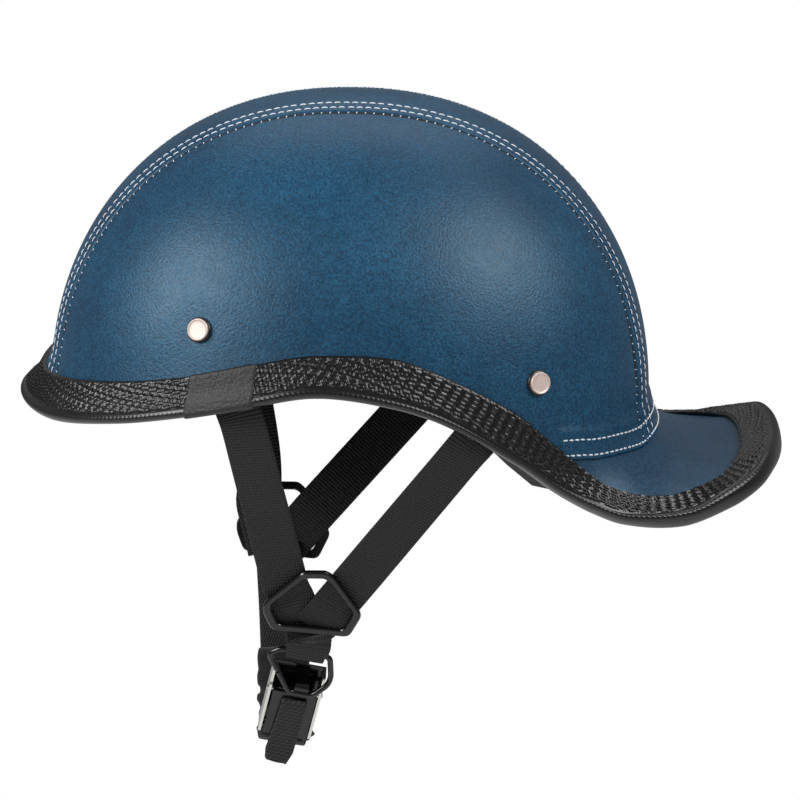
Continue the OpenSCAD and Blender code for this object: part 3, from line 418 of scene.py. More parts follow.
TRIM = plain_grain("trim vinyl", (0.0028, 0.0028, 0.003), 0.3, 0.7, 0.35)
SLEEVE = plain_grain("sleeve vinyl", (0.008, 0.008, 0.0085), 0.46, 1.2, 1.0, 0.5)
SHELL = plain_grain("shell plastic", (0.012, 0.012, 0.014), 0.5, 1.5, 0.15)
FOAM = plain_grain("beaded foam", (0.02, 0.02, 0.021), 0.85, 2.6, 0.7, 0.4)


print("grained finishes:", [m.name for m in (TRIM, SLEEVE, SHELL, FOAM)])

# %% Webbing and thread
def weave(name, color, rib_mm=1.45, cell_mm=1.2, strength=0.8, rough=0.7):
    mat, tree, bsdf = shader(name, color, rough, specular=0.35)
    uv = coords(tree, "UV")
    part = tree.nodes.new("ShaderNodeSeparateXYZ")
    tree.links.new(uv, part.inputs[0])
    along = math_node(tree, "MULTIPLY", part.outputs[0], 2 * math.pi / rib_mm)
    across = math_node(tree, "MULTIPLY", part.outputs[1], 2 * math.pi / cell_mm)
    s1 = math_node(tree, "SINE", along)
    shifted = math_node(tree, "ADD", across, math_node(tree, "MULTIPLY", along, 0.5))
    s2 = math_node(tree, "SINE", shifted)
    height = math_node(tree, "ADD", math_node(tree, "MULTIPLY", s1, 0.6),
                       math_node(tree, "MULTIPLY", s2, 0.5))
    # painted shade and highlight: the ribs' height colours their tops lighter and their grooves darker
    light = math_node(tree, "MULTIPLY", math_node(tree, "ADD", height, 1.1), 0.45, True)
    dark = tuple(c * 0.45 for c in color)
    bright = tuple(c * 1.9 for c in color)
    tree.links.new(ramp(tree, light, [(0.2, dark), (0.85, bright)]), bsdf.inputs["Base Color"])
    tree.links.new(bump(tree, height, strength, 0.18), bsdf.inputs["Normal"])
    return mat


WEBBING = weave("nylon webbing", (0.0085, 0.0085, 0.009), 1.45, 1.2, 0.9, 0.62)
TAB_WEBBING = weave("tab webbing", (0.013, 0.013, 0.013), 1.8, 2.4, 0.9)
THREAD = plain_grain("thread", (0.62, 0.66, 0.72), 0.6, 0.5, 0.4)

# %% Cloth
def cloth_material(name, color, size_mm=1.6):
    mat, tree, bsdf = shader(name, color, 0.9, specular=0.2)
    bsdf.inputs["Sheen Weight"].default_value = 0.25
    fine = noise(tree, size_mm, 3.0, 0.7)
    tree.links.new(ramp(tree, fine, [(0.3, tuple(c * 0.6 for c in color)),
                                     (0.7, tuple(c * 1.4 for c in color))]), bsdf.inputs["Base Color"])
    tree.links.new(bump(tree, fine, 0.5, 0.3), bsdf.inputs["Normal"])
    return mat


CLOTH = cloth_material("lining cloth", (0.018, 0.018, 0.021))
PAD_CLOTH = cloth_material("pad cloth", (0.012, 0.012, 0.0135), 1.2)
print("soft finishes:", [m.name for m in (WEBBING, TAB_WEBBING, THREAD, CLOTH, PAD_CLOTH)])

# %% [markdown]
# ### Metals and plastics
# The rivets are satin metal, the buckle is bright nickel and the sliders and ring are black
# lacquered steel. Lacquer hides the metal under it, so the black ones aren't metallic in the
# shader: a low roughness alone gives the thin bright lines along their bevels. A faint bump
# stands for the fine scratches that every used metal has.

# %% Metals and plastics
def metal(name, color, rough, scratch=0.05, metallic=1.0):
    mat, tree, bsdf = shader(name, color, rough, metallic)
    tree.links.new(bump(tree, noise(tree, 0.8, 3.0), scratch, 0.05), bsdf.inputs["Normal"])
    return mat


RIVET = metal("rivet face", (0.60, 0.49, 0.44), 0.5, 0.12, 0.4)
NICKEL = metal("bright nickel", (0.66, 0.65, 0.62), 0.24)
DARK_RING = metal("dark edge", (0.012, 0.010, 0.010), 0.35, 0.05, 0.0)
BLACK_METAL = metal("black lacquer", (0.002, 0.002, 0.0022), 0.14, 0.02, 0.0)
BLACK_PLASTIC = metal("black plastic", (0.004, 0.004, 0.0043), 0.3, 0.1, 0.0)
# painted shadow: a near black blue that stands for the shade in the narrow gap of each seam
PAINTED_SEAM_SHADOW = plain_grain("seam shadow", (0.0015, 0.004, 0.009), 0.8, 1.0, 0.2)


def dress(obj, mat):
    obj.data.materials.clear()
    obj.data.materials.append(mat)
    return obj


print("metals:", [m.name for m in (RIVET, NICKEL, DARK_RING, BLACK_METAL, BLACK_PLASTIC)])

# %% [markdown]
# ## The centre strip's edge
# The cover is sewn from three pieces: a strip over the crown and a panel on each side. The
# strip is narrow at the top and wider towards both ends, so that each piece lies nearly flat
# before it is stretched over the dome. Its edge could be drawn as a curve and projected; here
# its half width is a function of height, so both sides of the seam find exactly the same line.

# %% Strip outline
STRIP_TOP, STRIP_WIDEN, SEAM = 24.6, 0.46, 1.2
SIDE_EDGE = STRIP_TOP + SEAM / 2


def strip_line(y, h):
    return y * (1 + STRIP_WIDEN * (1 - np.clip(h, 0, 1)))


def strip_reach(y):
    return np.sqrt(HALF_L**2 - strip_line(y, 0) ** 2)


def line_place(y0, x):
    """Angle and share of the place on the dome at x, on the strip's line y0."""
    y0, x = np.broadcast_arrays(np.asarray(y0, float), np.asarray(x, float))
    c = np.clip(x / strip_reach(y0), -1, 1)
    h = np.sqrt(1 - c * c) ** (2 / POWER_UP)
    y = strip_line(y0, h)
    a = np.degrees(np.arctan2(y, x))
    k = np.clip(np.hypot(x, y) / plan_r(a), 0, 1)
    start = np.arcsin(np.clip(smooth_at(a, RIM_A, WALL), 0, 1) ** (POWER_UP / 2))
    share = (np.pi / 2 - np.arccos(k ** (POWER_UP / 2))) / (np.pi / 2 - start)
    return a, FLARE * np.minimum(1, share)


def strip_place(y0, t):
    """Angle and share on the strip: y0 across, t from 0 at the front rim to 1 at the hem."""
    y0, t = np.broadcast_arrays(np.asarray(y0, float), np.asarray(t, float))
    bf, br = (math.asin(w ** (POWER_UP / 2)) for w in (WALL[-1], WALL[0]))
    front, back = 0.1, 0.94
    b = bf + (math.pi - br - bf) * np.clip((t - front) / (back - front), 0, 1)
    a, s = line_place(y0, -strip_reach(y0) * np.cos(b))
    hem = smooth_at(a, HEM_A, HEM_S)
    down = np.where(t < front, (1 - t / front) * COVER_END, (t - back) / (1 - back) * hem)
    return a, np.where((t < front) | (t > back), on_flare(np.maximum(down, 0)), s)


FRONT_Y, REAR_Y = strip_line(SIDE_EDGE, WALL[-1]), strip_line(SIDE_EDGE, WALL[0])
FRONT_COS = math.cos(math.asin(WALL[-1] ** (POWER_UP / 2)))
SIDE_REAR = math.degrees(math.atan2(REAR_Y, strip_reach(SIDE_EDGE)))
SIDE_FRONT = math.degrees(math.atan2(FRONT_Y, strip_reach(SIDE_EDGE) * FRONT_COS))
print("strip half width:", STRIP_TOP, "mm at the crown,",
      round(float(strip_line(STRIP_TOP, 0)), 1), "at the rim")

# %% [markdown]
# ## Leather panels
# A panel of leather is thick enough to show its edge: it rolls down into the seam, is folded
# over at the hem and is drawn in a little round each rivet. A Solidify modifier with a bevel
# would give a crisp edge that looks like plastic. Instead each panel is a fine grid on the
# shared surface, lifted along its normal by a sum of small shapes: `roll` for the edges,
# `hem_lift` for the fold, `dimple` for the rivets and `puff` for the unevenness of leather.

# %% Edges of the leather
def roll(d, radius=1.0, depth=1.6):
    """Lift near an edge: a quarter circle, then straight down. d is the distance from the edge."""
    d = np.asarray(d, float)
    t = np.clip(d / radius, 0, 1)
    return np.where(d < radius, radius * (np.sqrt(1 - (1 - t) ** 2) - 1), 0) * depth / radius


def hem_lift(above):
    """The folded hem is thicker over its last 13 mm. above is the distance from its edge."""
    return 1.15 * (1 - step_between(above, 12.0, 16.0)) + roll(above, 1.2, 1.9)


def puff(a, s):
    """A very shallow unevenness of the leather, in millimetres."""
    p = skin(a, s)
    return 0.16 * (np.sin(p[..., 0] / 17 + 1.3) * np.sin(p[..., 2] / 15 + p[..., 0] / 41)
                   + 0.6 * np.sin(p[..., 0] / 9.5 - p[..., 2] / 21))


NO_HEM = 99.0  # stands for the distance where there is no hem


def hem_above(a, s):
    """Distance from a point to the hem's edge, upwards; large where there is no hem."""
    part = smooth_at(a, HEM_A, HEM_S) - (s - FLARE) / (1 - FLARE)
    return np.where(np.abs(a) < HEM_END, part * flare_length(a), NO_HEM)


def hem_rise_at(above, nearest=-math.inf):
    """Lift of the hem, and none where there is no hem."""
    return np.where(above < NO_HEM, hem_lift(np.maximum(above, nearest)), 0)


def seam_dip(d):
    """Side panel next to the seam: it rolls down into the ditch."""
    return -0.7 * (1 - step_between(d, 0.5, 1.5))


def dimple(a, s):
    """The leather is drawn in a little round each rivet."""
    p = skin(a, s)
    return sum(-0.5 * np.exp(-(np.linalg.norm(p - skin(ra_, rs_), axis=-1) / 9.0) ** 2)
               for ra_, rs_ in RIVETS)


print("lift at the hem:", round(float(hem_lift(6.0)), 2), "mm")

# %% Side panels
def side_panel(side):
    # plan angles, closer together at both ends of the panel
    inner = np.array([0.02, 0.1, 0.25, 0.5, 0.9, 1.4, 2.1, 3.0, 4.2, 5.8, 7.8, 10.2, 13])
    mid = np.linspace(SIDE_REAR + 15, 180 - SIDE_FRONT - 15, 170)
    cols = np.concatenate([SIDE_REAR + inner, mid, (180 - SIDE_FRONT - inner)[::-1]])
    yb = np.where(cols < 90, REAR_Y, FRONT_Y)
    a_top, s_top = line_place(SIDE_EDGE, yb / np.tan(np.radians(cols)))
    hem = on_flare(smooth_at(cols, HEM_A, HEM_S))
    low = np.where(cols < HEM_END, hem + 0.001, on_flare(COVER_END))
    rows = np.concatenate([np.linspace(0, 0.03, 9)[:-1], np.linspace(0.03, 0.9, 60)[:-1],
                           np.linspace(0.9, 1, 20)])
    under = np.linspace(0, 1, 14)[1:]
    a = np.concatenate([a_top[:, None] + (cols - a_top)[:, None] * rows,
                        np.repeat(cols[:, None], len(under), 1)], 1)
    s = np.concatenate([s_top[:, None] + (hem - s_top)[:, None] * rows,
                        hem[:, None] + (low - hem)[:, None] * under], 1)
    base = skin(a, s)
    edge = np.minimum(np.linalg.norm(base - base[:, :1], axis=-1), 40)
    # near the ends of the panel the seam is the first and last column
    for end in (base[:1], base[-1:]):
        edge = np.minimum(edge, np.linalg.norm(base - end, axis=-1))
    # the seam side rolls down; the hem side is lifted and rolls down
    hem_part = hem_rise_at(hem_above(a, s)) * (1 - step_between(np.abs(a), HEM_END - 1.4, HEM_END))
    lift = puff(a, s) * step_between(edge, 1, 12) + seam_dip(edge) + hem_part + dimple(a, s)
    obj = grid_mesh("panel_" + side_word(side), layer(side * a, s, lift), flip=side < 0)
    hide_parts("side_cover_" + side_word(side))
    return dress(obj, LEATHER)


panels = [side_panel(s) for s in (-1, 1)]
print("panel vertices:", [len(p.data.vertices) for p in panels])

# %% [markdown]
# ### Centre strip
# The strip's edge is folded under, which leaves a thin ridge beside the seam, and two rows of
# thread pull it down into shallow grooves. A bump map could suggest both, but light falls
# along this seam, so they are real: `strip_profile` adds the ridge, the grooves and the soft
# body between them. The rows lie closer together on the far side, where the strip curves away.

# %% Profile of the strip
NEAR_ROWS, FAR_ROWS = (4.4, 10.4), (2.6, 6.4)  # distance of each row of thread from the edge


def strip_profile(d, rows):
    """Lift of the strip at a distance from its edge, pulled down along its rows of thread."""
    ridge = 0.45 * np.exp(-((d - 1.1) / 0.7) ** 2)
    groove = sum(-0.42 * np.exp(-((d - r) / 0.7) ** 2) for r in rows)
    body = 0.25 * step_between(d, 1.5, 3.2) + 0.25 * np.exp(-((d - sum(rows) / 2) / 1.8) ** 2)
    return ridge + groove + body + roll(d, 0.5, 1.2)

# %% Centre strip
across = np.concatenate([np.linspace(0, 14, 43)[:-1], np.linspace(14, STRIP_TOP, 10)])
across = np.concatenate([across - STRIP_TOP, (STRIP_TOP - across)[::-1][1:]])
ts = np.concatenate([np.linspace(0, 0.9, 150)[:-1], np.linspace(0.9, 1, 60)])
sa, ss = strip_place(across[:, None], ts[None, :])
on_strip = skin(sa, ss)
left_edge = np.linalg.norm(on_strip - on_strip[:1], axis=-1)
right_edge = np.linalg.norm(on_strip - on_strip[-1:], axis=-1)
strip_lift = np.where(left_edge < right_edge, strip_profile(left_edge, NEAR_ROWS),
                      strip_profile(right_edge, FAR_ROWS))
strip_lift = strip_lift + hem_rise_at(hem_above(sa, ss))
strip = grid_mesh("centre_strip", layer(sa, ss, strip_lift), flip=True)
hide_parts("crown_strip")
dress(strip, LEATHER)
print("strip vertices:", len(strip.data.vertices))

# %% Painted seam shadows
def ditch(side):
    """A narrow gutter under the gap between two leathers, coloured near black as a painted shadow of the
    seam.
    """
    t = np.linspace(0.02, 0.995, 160)
    rows = [strip_place(side * (STRIP_TOP + w), t) for w in (-0.8, -0.3, 0.5, 1.4, 2.2)]
    depths = (-0.6, -0.2, -0.12, -0.16, -0.6)
    pts = np.stack([layer(a, s, np.full_like(a, d)) for (a, s), d in zip(rows, depths)], 0)
    return dress(grid_mesh("painted_seam_shadow_" + side_word(side), pts, flip=True), PAINTED_SEAM_SHADOW)


print("painted seam shadows:", [ditch(s).name for s in (-1, 1)])

# %% [markdown]
# ## Tail leather
# A separate piece of leather covers the upswept tail. It starts under the hem, as a sewn piece
# would, so no gap can open between the two. A thin black leather lines the tail's underside.

# %% Tail
TAIL_EDGE, BRIM_IN = 42.5, 5.5  # plan angle of the tail's edge, and depth of its lining
ta = np.linspace(-TAIL_EDGE, TAIL_EDGE, 120)
tt = np.linspace(0, 1, 50)
t_low = smooth_at(ta, HEM_A, HEM_S) - 0.05
share = t_low[:, None] + (COVER_END - t_low)[:, None] * tt
a2, s2 = np.broadcast_arrays(ta[:, None], on_flare(share))
tail = grid_mesh("tail_leather", layer(a2, s2, 0.1 + 0.4 * puff(a2, s2)), flip=True)
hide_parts("tail_cover")
dress(tail, TAIL_LEATHER)
ba = np.linspace(-TAIL_EDGE, TAIL_EDGE, 80)
b_share = np.linspace(0.2, 0.96, 30)
a3, s3 = np.broadcast_arrays(ba[:, None], on_flare(b_share[None, :]))
brim_under = grid_mesh("tail_lining", layer(a3, s3, 0.3 * puff(a3, s3) - BRIM_IN))
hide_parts("brim_lining")
dress(brim_under, INNER_LEATHER)
print("tail:", len(tail.data.vertices), "vertices, lining:", len(brim_under.data.vertices))

# %% [markdown]
# ## Edge trim
# A band of pressed vinyl wraps the shell's edge. It has a flap on the outside, a round bead at
# the rim and a shorter flap inside. A curve object with a bevel profile could follow the rim,
# but its ends and UV are hard to control, so one section is carried round the rim as a grid.
# The pressed herringbone is real relief: `zigzag` gives a height from the distances along and
# across the band, and the section's points move outwards by it.

# %% Section of the trim
FLAP, INNER_FLAP = 13.5, 10  # how far the trim reaches up, outside and inside


def rim_angles_even(step_mm):
    a = np.linspace(0, 360, 7201)
    p = skin(a, 1.0)
    d = np.concatenate([[0], np.cumsum(np.linalg.norm(np.diff(p, axis=0), axis=1))])
    n = int(round(d[-1] / step_mm))
    at = np.linspace(0, d[-1], n, endpoint=False)
    return np.interp(at, d, a), at, d[-1]


def trim_rise(a):
    """Towards the rear the band sits higher on the flared edge and its flap is wider."""
    m = np.abs((a + 180) % 360 - 180)
    w = step_between(m, 24, 44) * (1 - step_between(m, 74, 96))
    return 1.7 * w, 1 + 0.24 * w


def section_point(a, x, y):
    """x is outwards from the skin, y downwards past the rim (negative: above it)."""
    rise, wide = trim_rise(a)
    a, x, y = np.broadcast_arrays(a, x, np.where(y < 0, y * wide, y) - rise)
    edge, n = skin(a, 1.0), skin_normal(a, 1.0)
    down = unit(skin(a, 1.0) - skin(a, 0.998))
    above = layer(a, share_above(a, np.maximum(-y, 0)), x)
    below = edge + n * x[..., None] + down * y[..., None]
    return np.where((y < 0)[..., None], above, below)


def section_curve(step):
    """The trim's section as a smooth line of (outward, downward) places."""
    knots = [(0.0, -FLAP), (1.3, -FLAP), (1.85, 0.5 - FLAP), (1.9, -10), (2.0, -6.5), (2.4, -3.5),
             (2.85, -1.2), (2.95, -0.3), (2.7, 0.1), (3.05, 0.7), (3.0, 1.6), (2.3, 2.7), (0.9, 3.3),
             (-1.2, 3.4), (-3.4, 3.1), (-5.2, 2.2), (-6.1, 0.9), (-6.4, -1), (-6.4, -5),
             (-6.3, 0.6 - INNER_FLAP), (-5.9, -INNER_FLAP), (-4.7, -INNER_FLAP)]
    k = np.array([(x, y, 0) for x, y in knots])
    line, at = resample(k, step)
    for _ in range(2):
        line[1:-1] = (line[:-2] + 2 * line[1:-1] + line[2:]) / 4
    return line[:, 0], line[:, 1], at


def fold(x, period):
    """Distance to a zigzag: 0..1..0 over one period."""
    return np.abs(((x / period) % 1) * 2 - 1)


def zigzag(u, v):
    """Pressed herringbone: slanted stair lines whose steps alternate in direction."""
    line = u * 0.62 + v * 0.78 + 0.85 * (fold(u * 0.78 - v * 0.62, 3.6) - 0.5) * 2
    wave = 0.5 + 0.5 * np.cos(2 * np.pi * line / 1.9)
    return step_between(wave, 0.3, 0.72)

# %% Trim
ra, ru, rim_length = rim_angles_even(0.5)
ra = -ra
sx, sy, sv = section_curve(0.42)
A, X = np.meshgrid(ra, sx, indexing="ij")
Y = np.broadcast_to(sy, X.shape)
U, V = np.meshgrid(ru, sv, indexing="ij")
face = step_between(Y, 0.5 - FLAP, 1.1 - FLAP) * (1 - step_between(Y, -1.6, -0.8)) * (X > 0.5)
bead = step_between(Y, 0.5, 1.0) * (X > -4)
inside = (X < -5.5) * (Y < 0)
slanted = 0.5 + 0.5 * np.cos(2 * np.pi * (U + V * 0.9) / 2.1)
relief = 0.75 * face * zigzag(U, Y) + 0.3 * bead * slanted + 0.3 * inside * zigzag(U, Y)
sign = np.where(X > -4, 1.0, -1.0)
trim_pts = section_point(A, X + relief * sign, Y)
trim = grid_mesh("edge_trim_band", trim_pts, wrap_n=True, uv=np.stack([U, V], -1))
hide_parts("edge_trim")
dress(trim, TRIM)
print("trim:", round(rim_length), "mm round,", len(trim.data.vertices), "vertices")

# %% [markdown]
# ### Sleeve over the joint
# The trim is one length of vinyl whose ends meet on the wearer's left, under a short sleeve.
# The sleeve reuses the trim's own section, a little further out. Its first and last columns
# sink back, so its ends look folded rather than cut with a knife.

# %% Sleeve over the trim's joint
SLEEVE_COLUMNS = 60
ua = np.linspace(108.6, 123.2, SLEEVE_COLUMNS)
sx2, sy2, _ = section_curve(0.6)
keep = slice(0, 34)  # the outer flap and the bead
A2, X2 = np.meshgrid(-ua, sx2[keep], indexing="ij")
Y2 = np.broadcast_to(sy2[keep], X2.shape)
column = np.arange(SLEEVE_COLUMNS)
end = np.minimum(column, column[::-1])[:, None]
over = np.where(end < 1, 0.2, np.where(end < 2, 0.85, 1.0))
sleeve_pts = section_point(A2, X2 + over * 0.95, Y2 + np.where(Y2 > 0, 0.9 * over, -0.35 * over))
sleeve = grid_mesh("joint_sleeve", sleeve_pts, flip=True)
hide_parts("trim_joint_sleeve")
dress(sleeve, SLEEVE)
print("sleeve:", len(sleeve.data.vertices), "vertices")

# %% [markdown]
# ## Thread
# Topstitching is what the eye reads first on a leather helmet. A dashed line in a texture
# would lie flat and blur in close-ups, so every stitch is a small arched capsule that dips
# into the leather at both ends. `stitches` lays them along a line at one pitch, turns each a
# little at random, as a machine's thread does, and keeps a whole row in one mesh.

# %% Stitches
def capsule_rows(length, radius, arch, sides=8, rows=7):
    """Points of one stitch: along x, arched up in z."""
    t = np.linspace(-1, 1, rows)
    r = radius * np.sqrt(np.clip(1 - np.abs(t) ** 3.5, 0.02, 1))
    ang = np.linspace(0, 2 * np.pi, sides, endpoint=False)
    x = np.repeat((t * length / 2)[:, None], sides, 1)
    y = r[:, None] * np.cos(ang)
    z = r[:, None] * np.sin(ang) * 0.8 + arch * (1 - t[:, None] ** 2) - arch * 0.55
    return np.stack([x, y, z], -1)


def stitches(name, points, normals, pitch, length, radius, arch=0.25, slant=0.0):
    line, at = resample(points, 0.4)
    n_line = np.stack([np.interp(np.linspace(0, 1, len(line)), np.linspace(0, 1, len(normals)), normals[:, k])
                       for k in range(3)], 1)
    total = at[-1]
    rows = capsule_rows(length, radius, arch)
    base_faces = grid_faces(rows.shape[0], rows.shape[1], wrap_m=True)
    verts, faces = [], []
    rng = np.random.default_rng(len(name))
    for c in np.arange(pitch / 2, total - pitch / 3, pitch):
        i = min(len(line) - 2, max(1, int(c / total * (len(line) - 1))))
        x = unit(line[i + 1] - line[i - 1])
        z = unit(n_line[i] - x * (n_line[i] @ x))
        y = np.cross(z, x)
        turn = slant + rng.normal(0, 0.03)
        x, y = x * math.cos(turn) + y * math.sin(turn), y * math.cos(turn) - x * math.sin(turn)
        p = line[i] + rows @ np.stack([x, y, z])
        faces.append(base_faces + len(verts) * rows.shape[0] * rows.shape[1])
        verts.append(p.reshape(-1, 3))
    obj = mesh_object(name, np.concatenate(verts), np.concatenate(faces))
    return dress(obj, THREAD)

# %% Rows of thread
SEAM_PITCH, HEM_PITCH, EDGE_ROLL = 3.68, 3.3, 1.2
for side in (-1, 1):
    word = side_word(side)
    t = np.linspace(0.03, 0.999, 500)
    for k, d in enumerate(NEAR_ROWS if side < 0 else FAR_ROWS):
        a, s = strip_place(side * (STRIP_TOP - d * 0.86), t)
        lift = 0.3 + 0.12 * k + hem_rise_at(hem_above(a, s), EDGE_ROLL)
        stitches(f"strip_stitches_{word}_{k + 1}", layer(a, s, lift), skin_normal(a, s),
                 SEAM_PITCH, 2.9, 0.34)
    # the seam's own thread shows as short ticks across the gap
    a, s = strip_place(side * (STRIP_TOP + 0.75), t)
    lift = hem_rise_at(hem_above(a, s), EDGE_ROLL)
    stitches(f"seam_ticks_{word}", layer(a, s, lift), skin_normal(a, s), SEAM_PITCH, 1.6, 0.22,
             arch=0.1, slant=1.35)

for k, d in enumerate((2.3, 9.0)):
    a = np.linspace(-42.0, 42.0, 500)
    s = on_flare(smooth_at(a, HEM_A, HEM_S) - d / flare_length(a))
    in_strip = 1 - step_between(np.abs(skin(a, s)[:, 1]), 30, 36)
    lift = hem_lift(np.full_like(a, d)) + 0.1 + 0.35 * in_strip
    stitches(f"hem_stitches_{k + 1}", layer(a, s, lift), skin_normal(a, s), HEM_PITCH, 2.5, 0.37)
print("stitched rows:", sum(o.name.find("stitch") >= 0 for o in bpy.data.objects))

# %% [markdown]
# ## Rivets
# Four rivets hold the harness. Each is a turned piece: a flat face, a raised rim and a dark
# seat that presses into the leather. The Screw modifier could turn a profile too; `lathe`
# does the same with a table of radius and height pairs, and sets the axis along the surface's
# normal at the rivet.

# %% Rivets
def lathe(name, profile, origin, axis, mat, sides=48):
    axis = unit(axis)
    ex = unit(np.cross((0.3, 0.2, 1.0), axis))
    ey = np.cross(axis, ex)
    t = np.linspace(0, 2 * np.pi, sides, endpoint=False)
    pts = np.array([[origin + axis * h + (ex * math.cos(v) + ey * math.sin(v)) * r for v in t]
                    for r, h in profile])
    return dress(grid_mesh(name, pts, wrap_m=True, flip=True), mat)


FACE = [(0.02, 1.72), (2.4, 1.7), (3.4, 1.72), (3.85, 1.8), (4.1, 2.05), (4.3, 2.1), (4.5, 1.95),
        (4.6, 1.5), (4.55, 1.0), (4.5, 0.3)]
SEAT = [(4.3, 0.95), (4.95, 0.9), (5.25, 0.5), (5.35, -0.35)]
for side in (-1, 1):
    for k, (a, s) in enumerate(RIVETS):
        word = ("front_", "rear_")[k] + side_word(side)
        place, out_dir = skin(side * a, s), skin_normal(side * a, s)
        face_obj = lathe("rivet_" + word, FACE, place, out_dir, RIVET)
        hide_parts("rivet_caps")
        lathe("rivet_seat_" + word, SEAT, place, out_dir, DARK_RING)
print("rivets:", 2 * len(RIVETS))

# %% [markdown]
# ## Harness places
# Under each ear two straps meet in a slider. The slider is a flat plate in a tilted plane, and
# the ring and the buckle hang below it in a plane of their own. Working in world coordinates
# would mean guessing three numbers for each point. `plate` takes a place across the slider,
# up it and out of it instead, and `hang` does the same for the ring and the buckle.

# %% Sizes of the harness
WEB_W, WEB_T, FAR_SHIFT = 20.0, 1.4, 18.0
SHELL_IN, TRIM_IN = 4.4, 6.3  # depth of the shell's and the trim's inner faces
UNDER_SHELL = SHELL_IN + WEB_T / 2 + 1.0  # depth of the webbing's middle inside the shell
EXITS = ((113.5, 0.09), (60.5, 0.0))  # where the straps leave the shell: plan angle and height
FAR_TURN = (8.0, 0.0)  # how much further round they leave it on the far side
SLIDER_T, SLIDER_BAR = 2.4, 3.6
SLIDER_HALF = np.array([21.0, 17.3])
OUTLINE = np.array([[-0.18, 1], [0.3, 1], [0.44, 0.86], [1, -0.33], [0.73, -1], [-0.84, -0.8],
                    [-1, -0.3], [-1, 0]])
ALONG = np.array([1.0, 0, 0])
SLIDER_AT = np.array([-13.7, -62.0, -77.4])
SLIDER_UP = unit((0, -0.375, 1.0))
SLIDER_OUT = np.cross(SLIDER_UP, -ALONG)
print("slider:", 2 * SLIDER_HALF, "mm")

# %% Places on a slider
def across_to(side, p):
    """The far side of the harness is a mirror image that hangs further forward."""
    p = np.asarray(p, float)
    return p if side < 0 else p * (1, -1, 1) - (FAR_SHIFT, 0, 0)


def plate(x, y, out=0.0, side=-1):
    return across_to(side, SLIDER_AT + ALONG * x + SLIDER_UP * y + SLIDER_OUT * out)


def flip_side(side, v):
    return np.asarray(v, float) * ((1, 1, 1) if side < 0 else (1, -1, 1))


def bar_mid(i, j):
    p = OUTLINE * (SLIDER_HALF - SLIDER_BAR / 2)
    return (p[i] + p[j]) / 2

# %% Places inside the shell
def inside_strap(side, k, s):
    """The webbing inside the shell: s is 0 at the rivet and 1 where it leaves the rim."""
    (ra_, rs_), (ea_, eh_) = RIVETS[k], EXITS[k]
    ea_ = ea_ + (FAR_TURN[k] if side > 0 else 0)
    h0 = float(skin(side * ra_, rs_)[2]) / HEIGHT
    a, h = side * (ra_ + (ea_ - ra_) * s), h0 + (eh_ - h0) * s
    t = float(step_between(s, 0, 0.6))
    inset = UNDER_SHELL * (1 - t) + (TRIM_IN + WEB_T / 2 + 0.6) * t
    r = float(plan_r(a, inset) * ring_share(h))
    return np.array([r * math.cos(math.radians(a)), r * math.sin(math.radians(a)), h * HEIGHT])

# %% Bars and the hanging plane
BARS = (bar_mid(7, 0), bar_mid(2, 3))
LOW = bar_mid(4, 5)
low_bar = (OUTLINE[4] - OUTLINE[5]) * SLIDER_HALF
LOW_TURN = math.atan2(-low_bar[1], low_bar[0])


def tilted(turn):
    return unit(ALONG * math.cos(turn) - SLIDER_UP * math.sin(turn))


ACROSS = tilted(LOW_TURN + math.radians(6.5))
HANG_IN = unit(np.cross(unit((0, -0.4, 1.0)), ACROSS))
HANG_UP = np.cross(ACROSS, HANG_IN)
RING_TOP = plate(LOW[0] - 2.2, LOW[1] - 12.5)


def hang(x, inward, up):
    return RING_TOP + ACROSS * x + HANG_IN * inward + HANG_UP * up


print("ring top:", RING_TOP.round(1), "mm")

# %% [markdown]
# ## Webbing
# Webbing is a flat woven band: it bends easily one way, hardly the other, and never gets
# wider. A curve with a flat bevel twists where its path turns. `ribbon` is told at every knot
# which way the band faces, and carries a flat section with soft edges along a smooth path.
# Its UV runs along and across the band in millimetres, as the weave expects.

# %% Ribbons
def ribbon_section(width, thick, cols=14):
    """A flat closed section with rounded edges, as (across, out) pairs and places across."""
    r = thick / 2
    x = np.linspace(-1, 1, cols) * (width / 2 - r)
    belly = 0.1 * (1 - (x / (width / 2)) ** 4)
    arc = np.linspace(np.pi / 2, -np.pi / 2, 5)[1:-1]
    top = np.stack([x, r * 0.9 + belly], 1)
    right = np.stack([width / 2 - r + r * np.cos(arc), r * np.sin(arc)], 1)
    low = np.stack([x[::-1], -r * 0.9 - belly[::-1]], 1)
    left = np.stack([-(width / 2 - r) - r * np.cos(arc), -r * np.sin(arc)], 1)
    return np.concatenate([top, right, low, left])


def ribbon(name, knots, normals, width, thick, mat, body, step=1.6, ragged=0.0, widths=None):
    """A band of webbing through the knots, facing along the normals."""
    line, at = resample(catmull(knots, 8), step)
    m = np.asarray(normals, float)
    legs = np.linalg.norm(np.diff(np.asarray(knots, float), axis=0), axis=1)
    kd = np.concatenate([[0], np.cumsum(legs)])
    place = at / at[-1] * kd[-1]
    n0 = np.stack([np.interp(place, kd, m[:, i]) for i in range(3)], 1)
    d = unit(np.gradient(line, axis=0))
    w = unit(np.cross(n0, d))
    n = np.cross(d, w)
    scale = np.ones(len(line)) if widths is None else np.interp(at / at[-1], *widths)
    sec = ribbon_section(width, thick)
    wide = w[:, None] * (sec[None, :, :1] * scale[:, None, None])
    pts = line[:, None] + wide + n[:, None] * sec[None, :, 1:]
    if ragged:
        rng = np.random.default_rng(7)
        pts[-1] += d[-1] * rng.uniform(-ragged, ragged, (len(sec), 1))
    uv = np.stack(np.broadcast_arrays(at[:, None], sec[None, :, 0]), -1)
    count, size = len(line), len(sec)
    faces = [tuple(f) for f in grid_faces(count, size, wrap_m=True, flip=True)]
    faces += [tuple(range(size)), tuple(range((count - 1) * size, count * size))[::-1]]
    obj = mesh_object(name, pts.reshape(-1, 3), faces, uv.reshape(-1, 2), body)
    return dress(obj, mat)

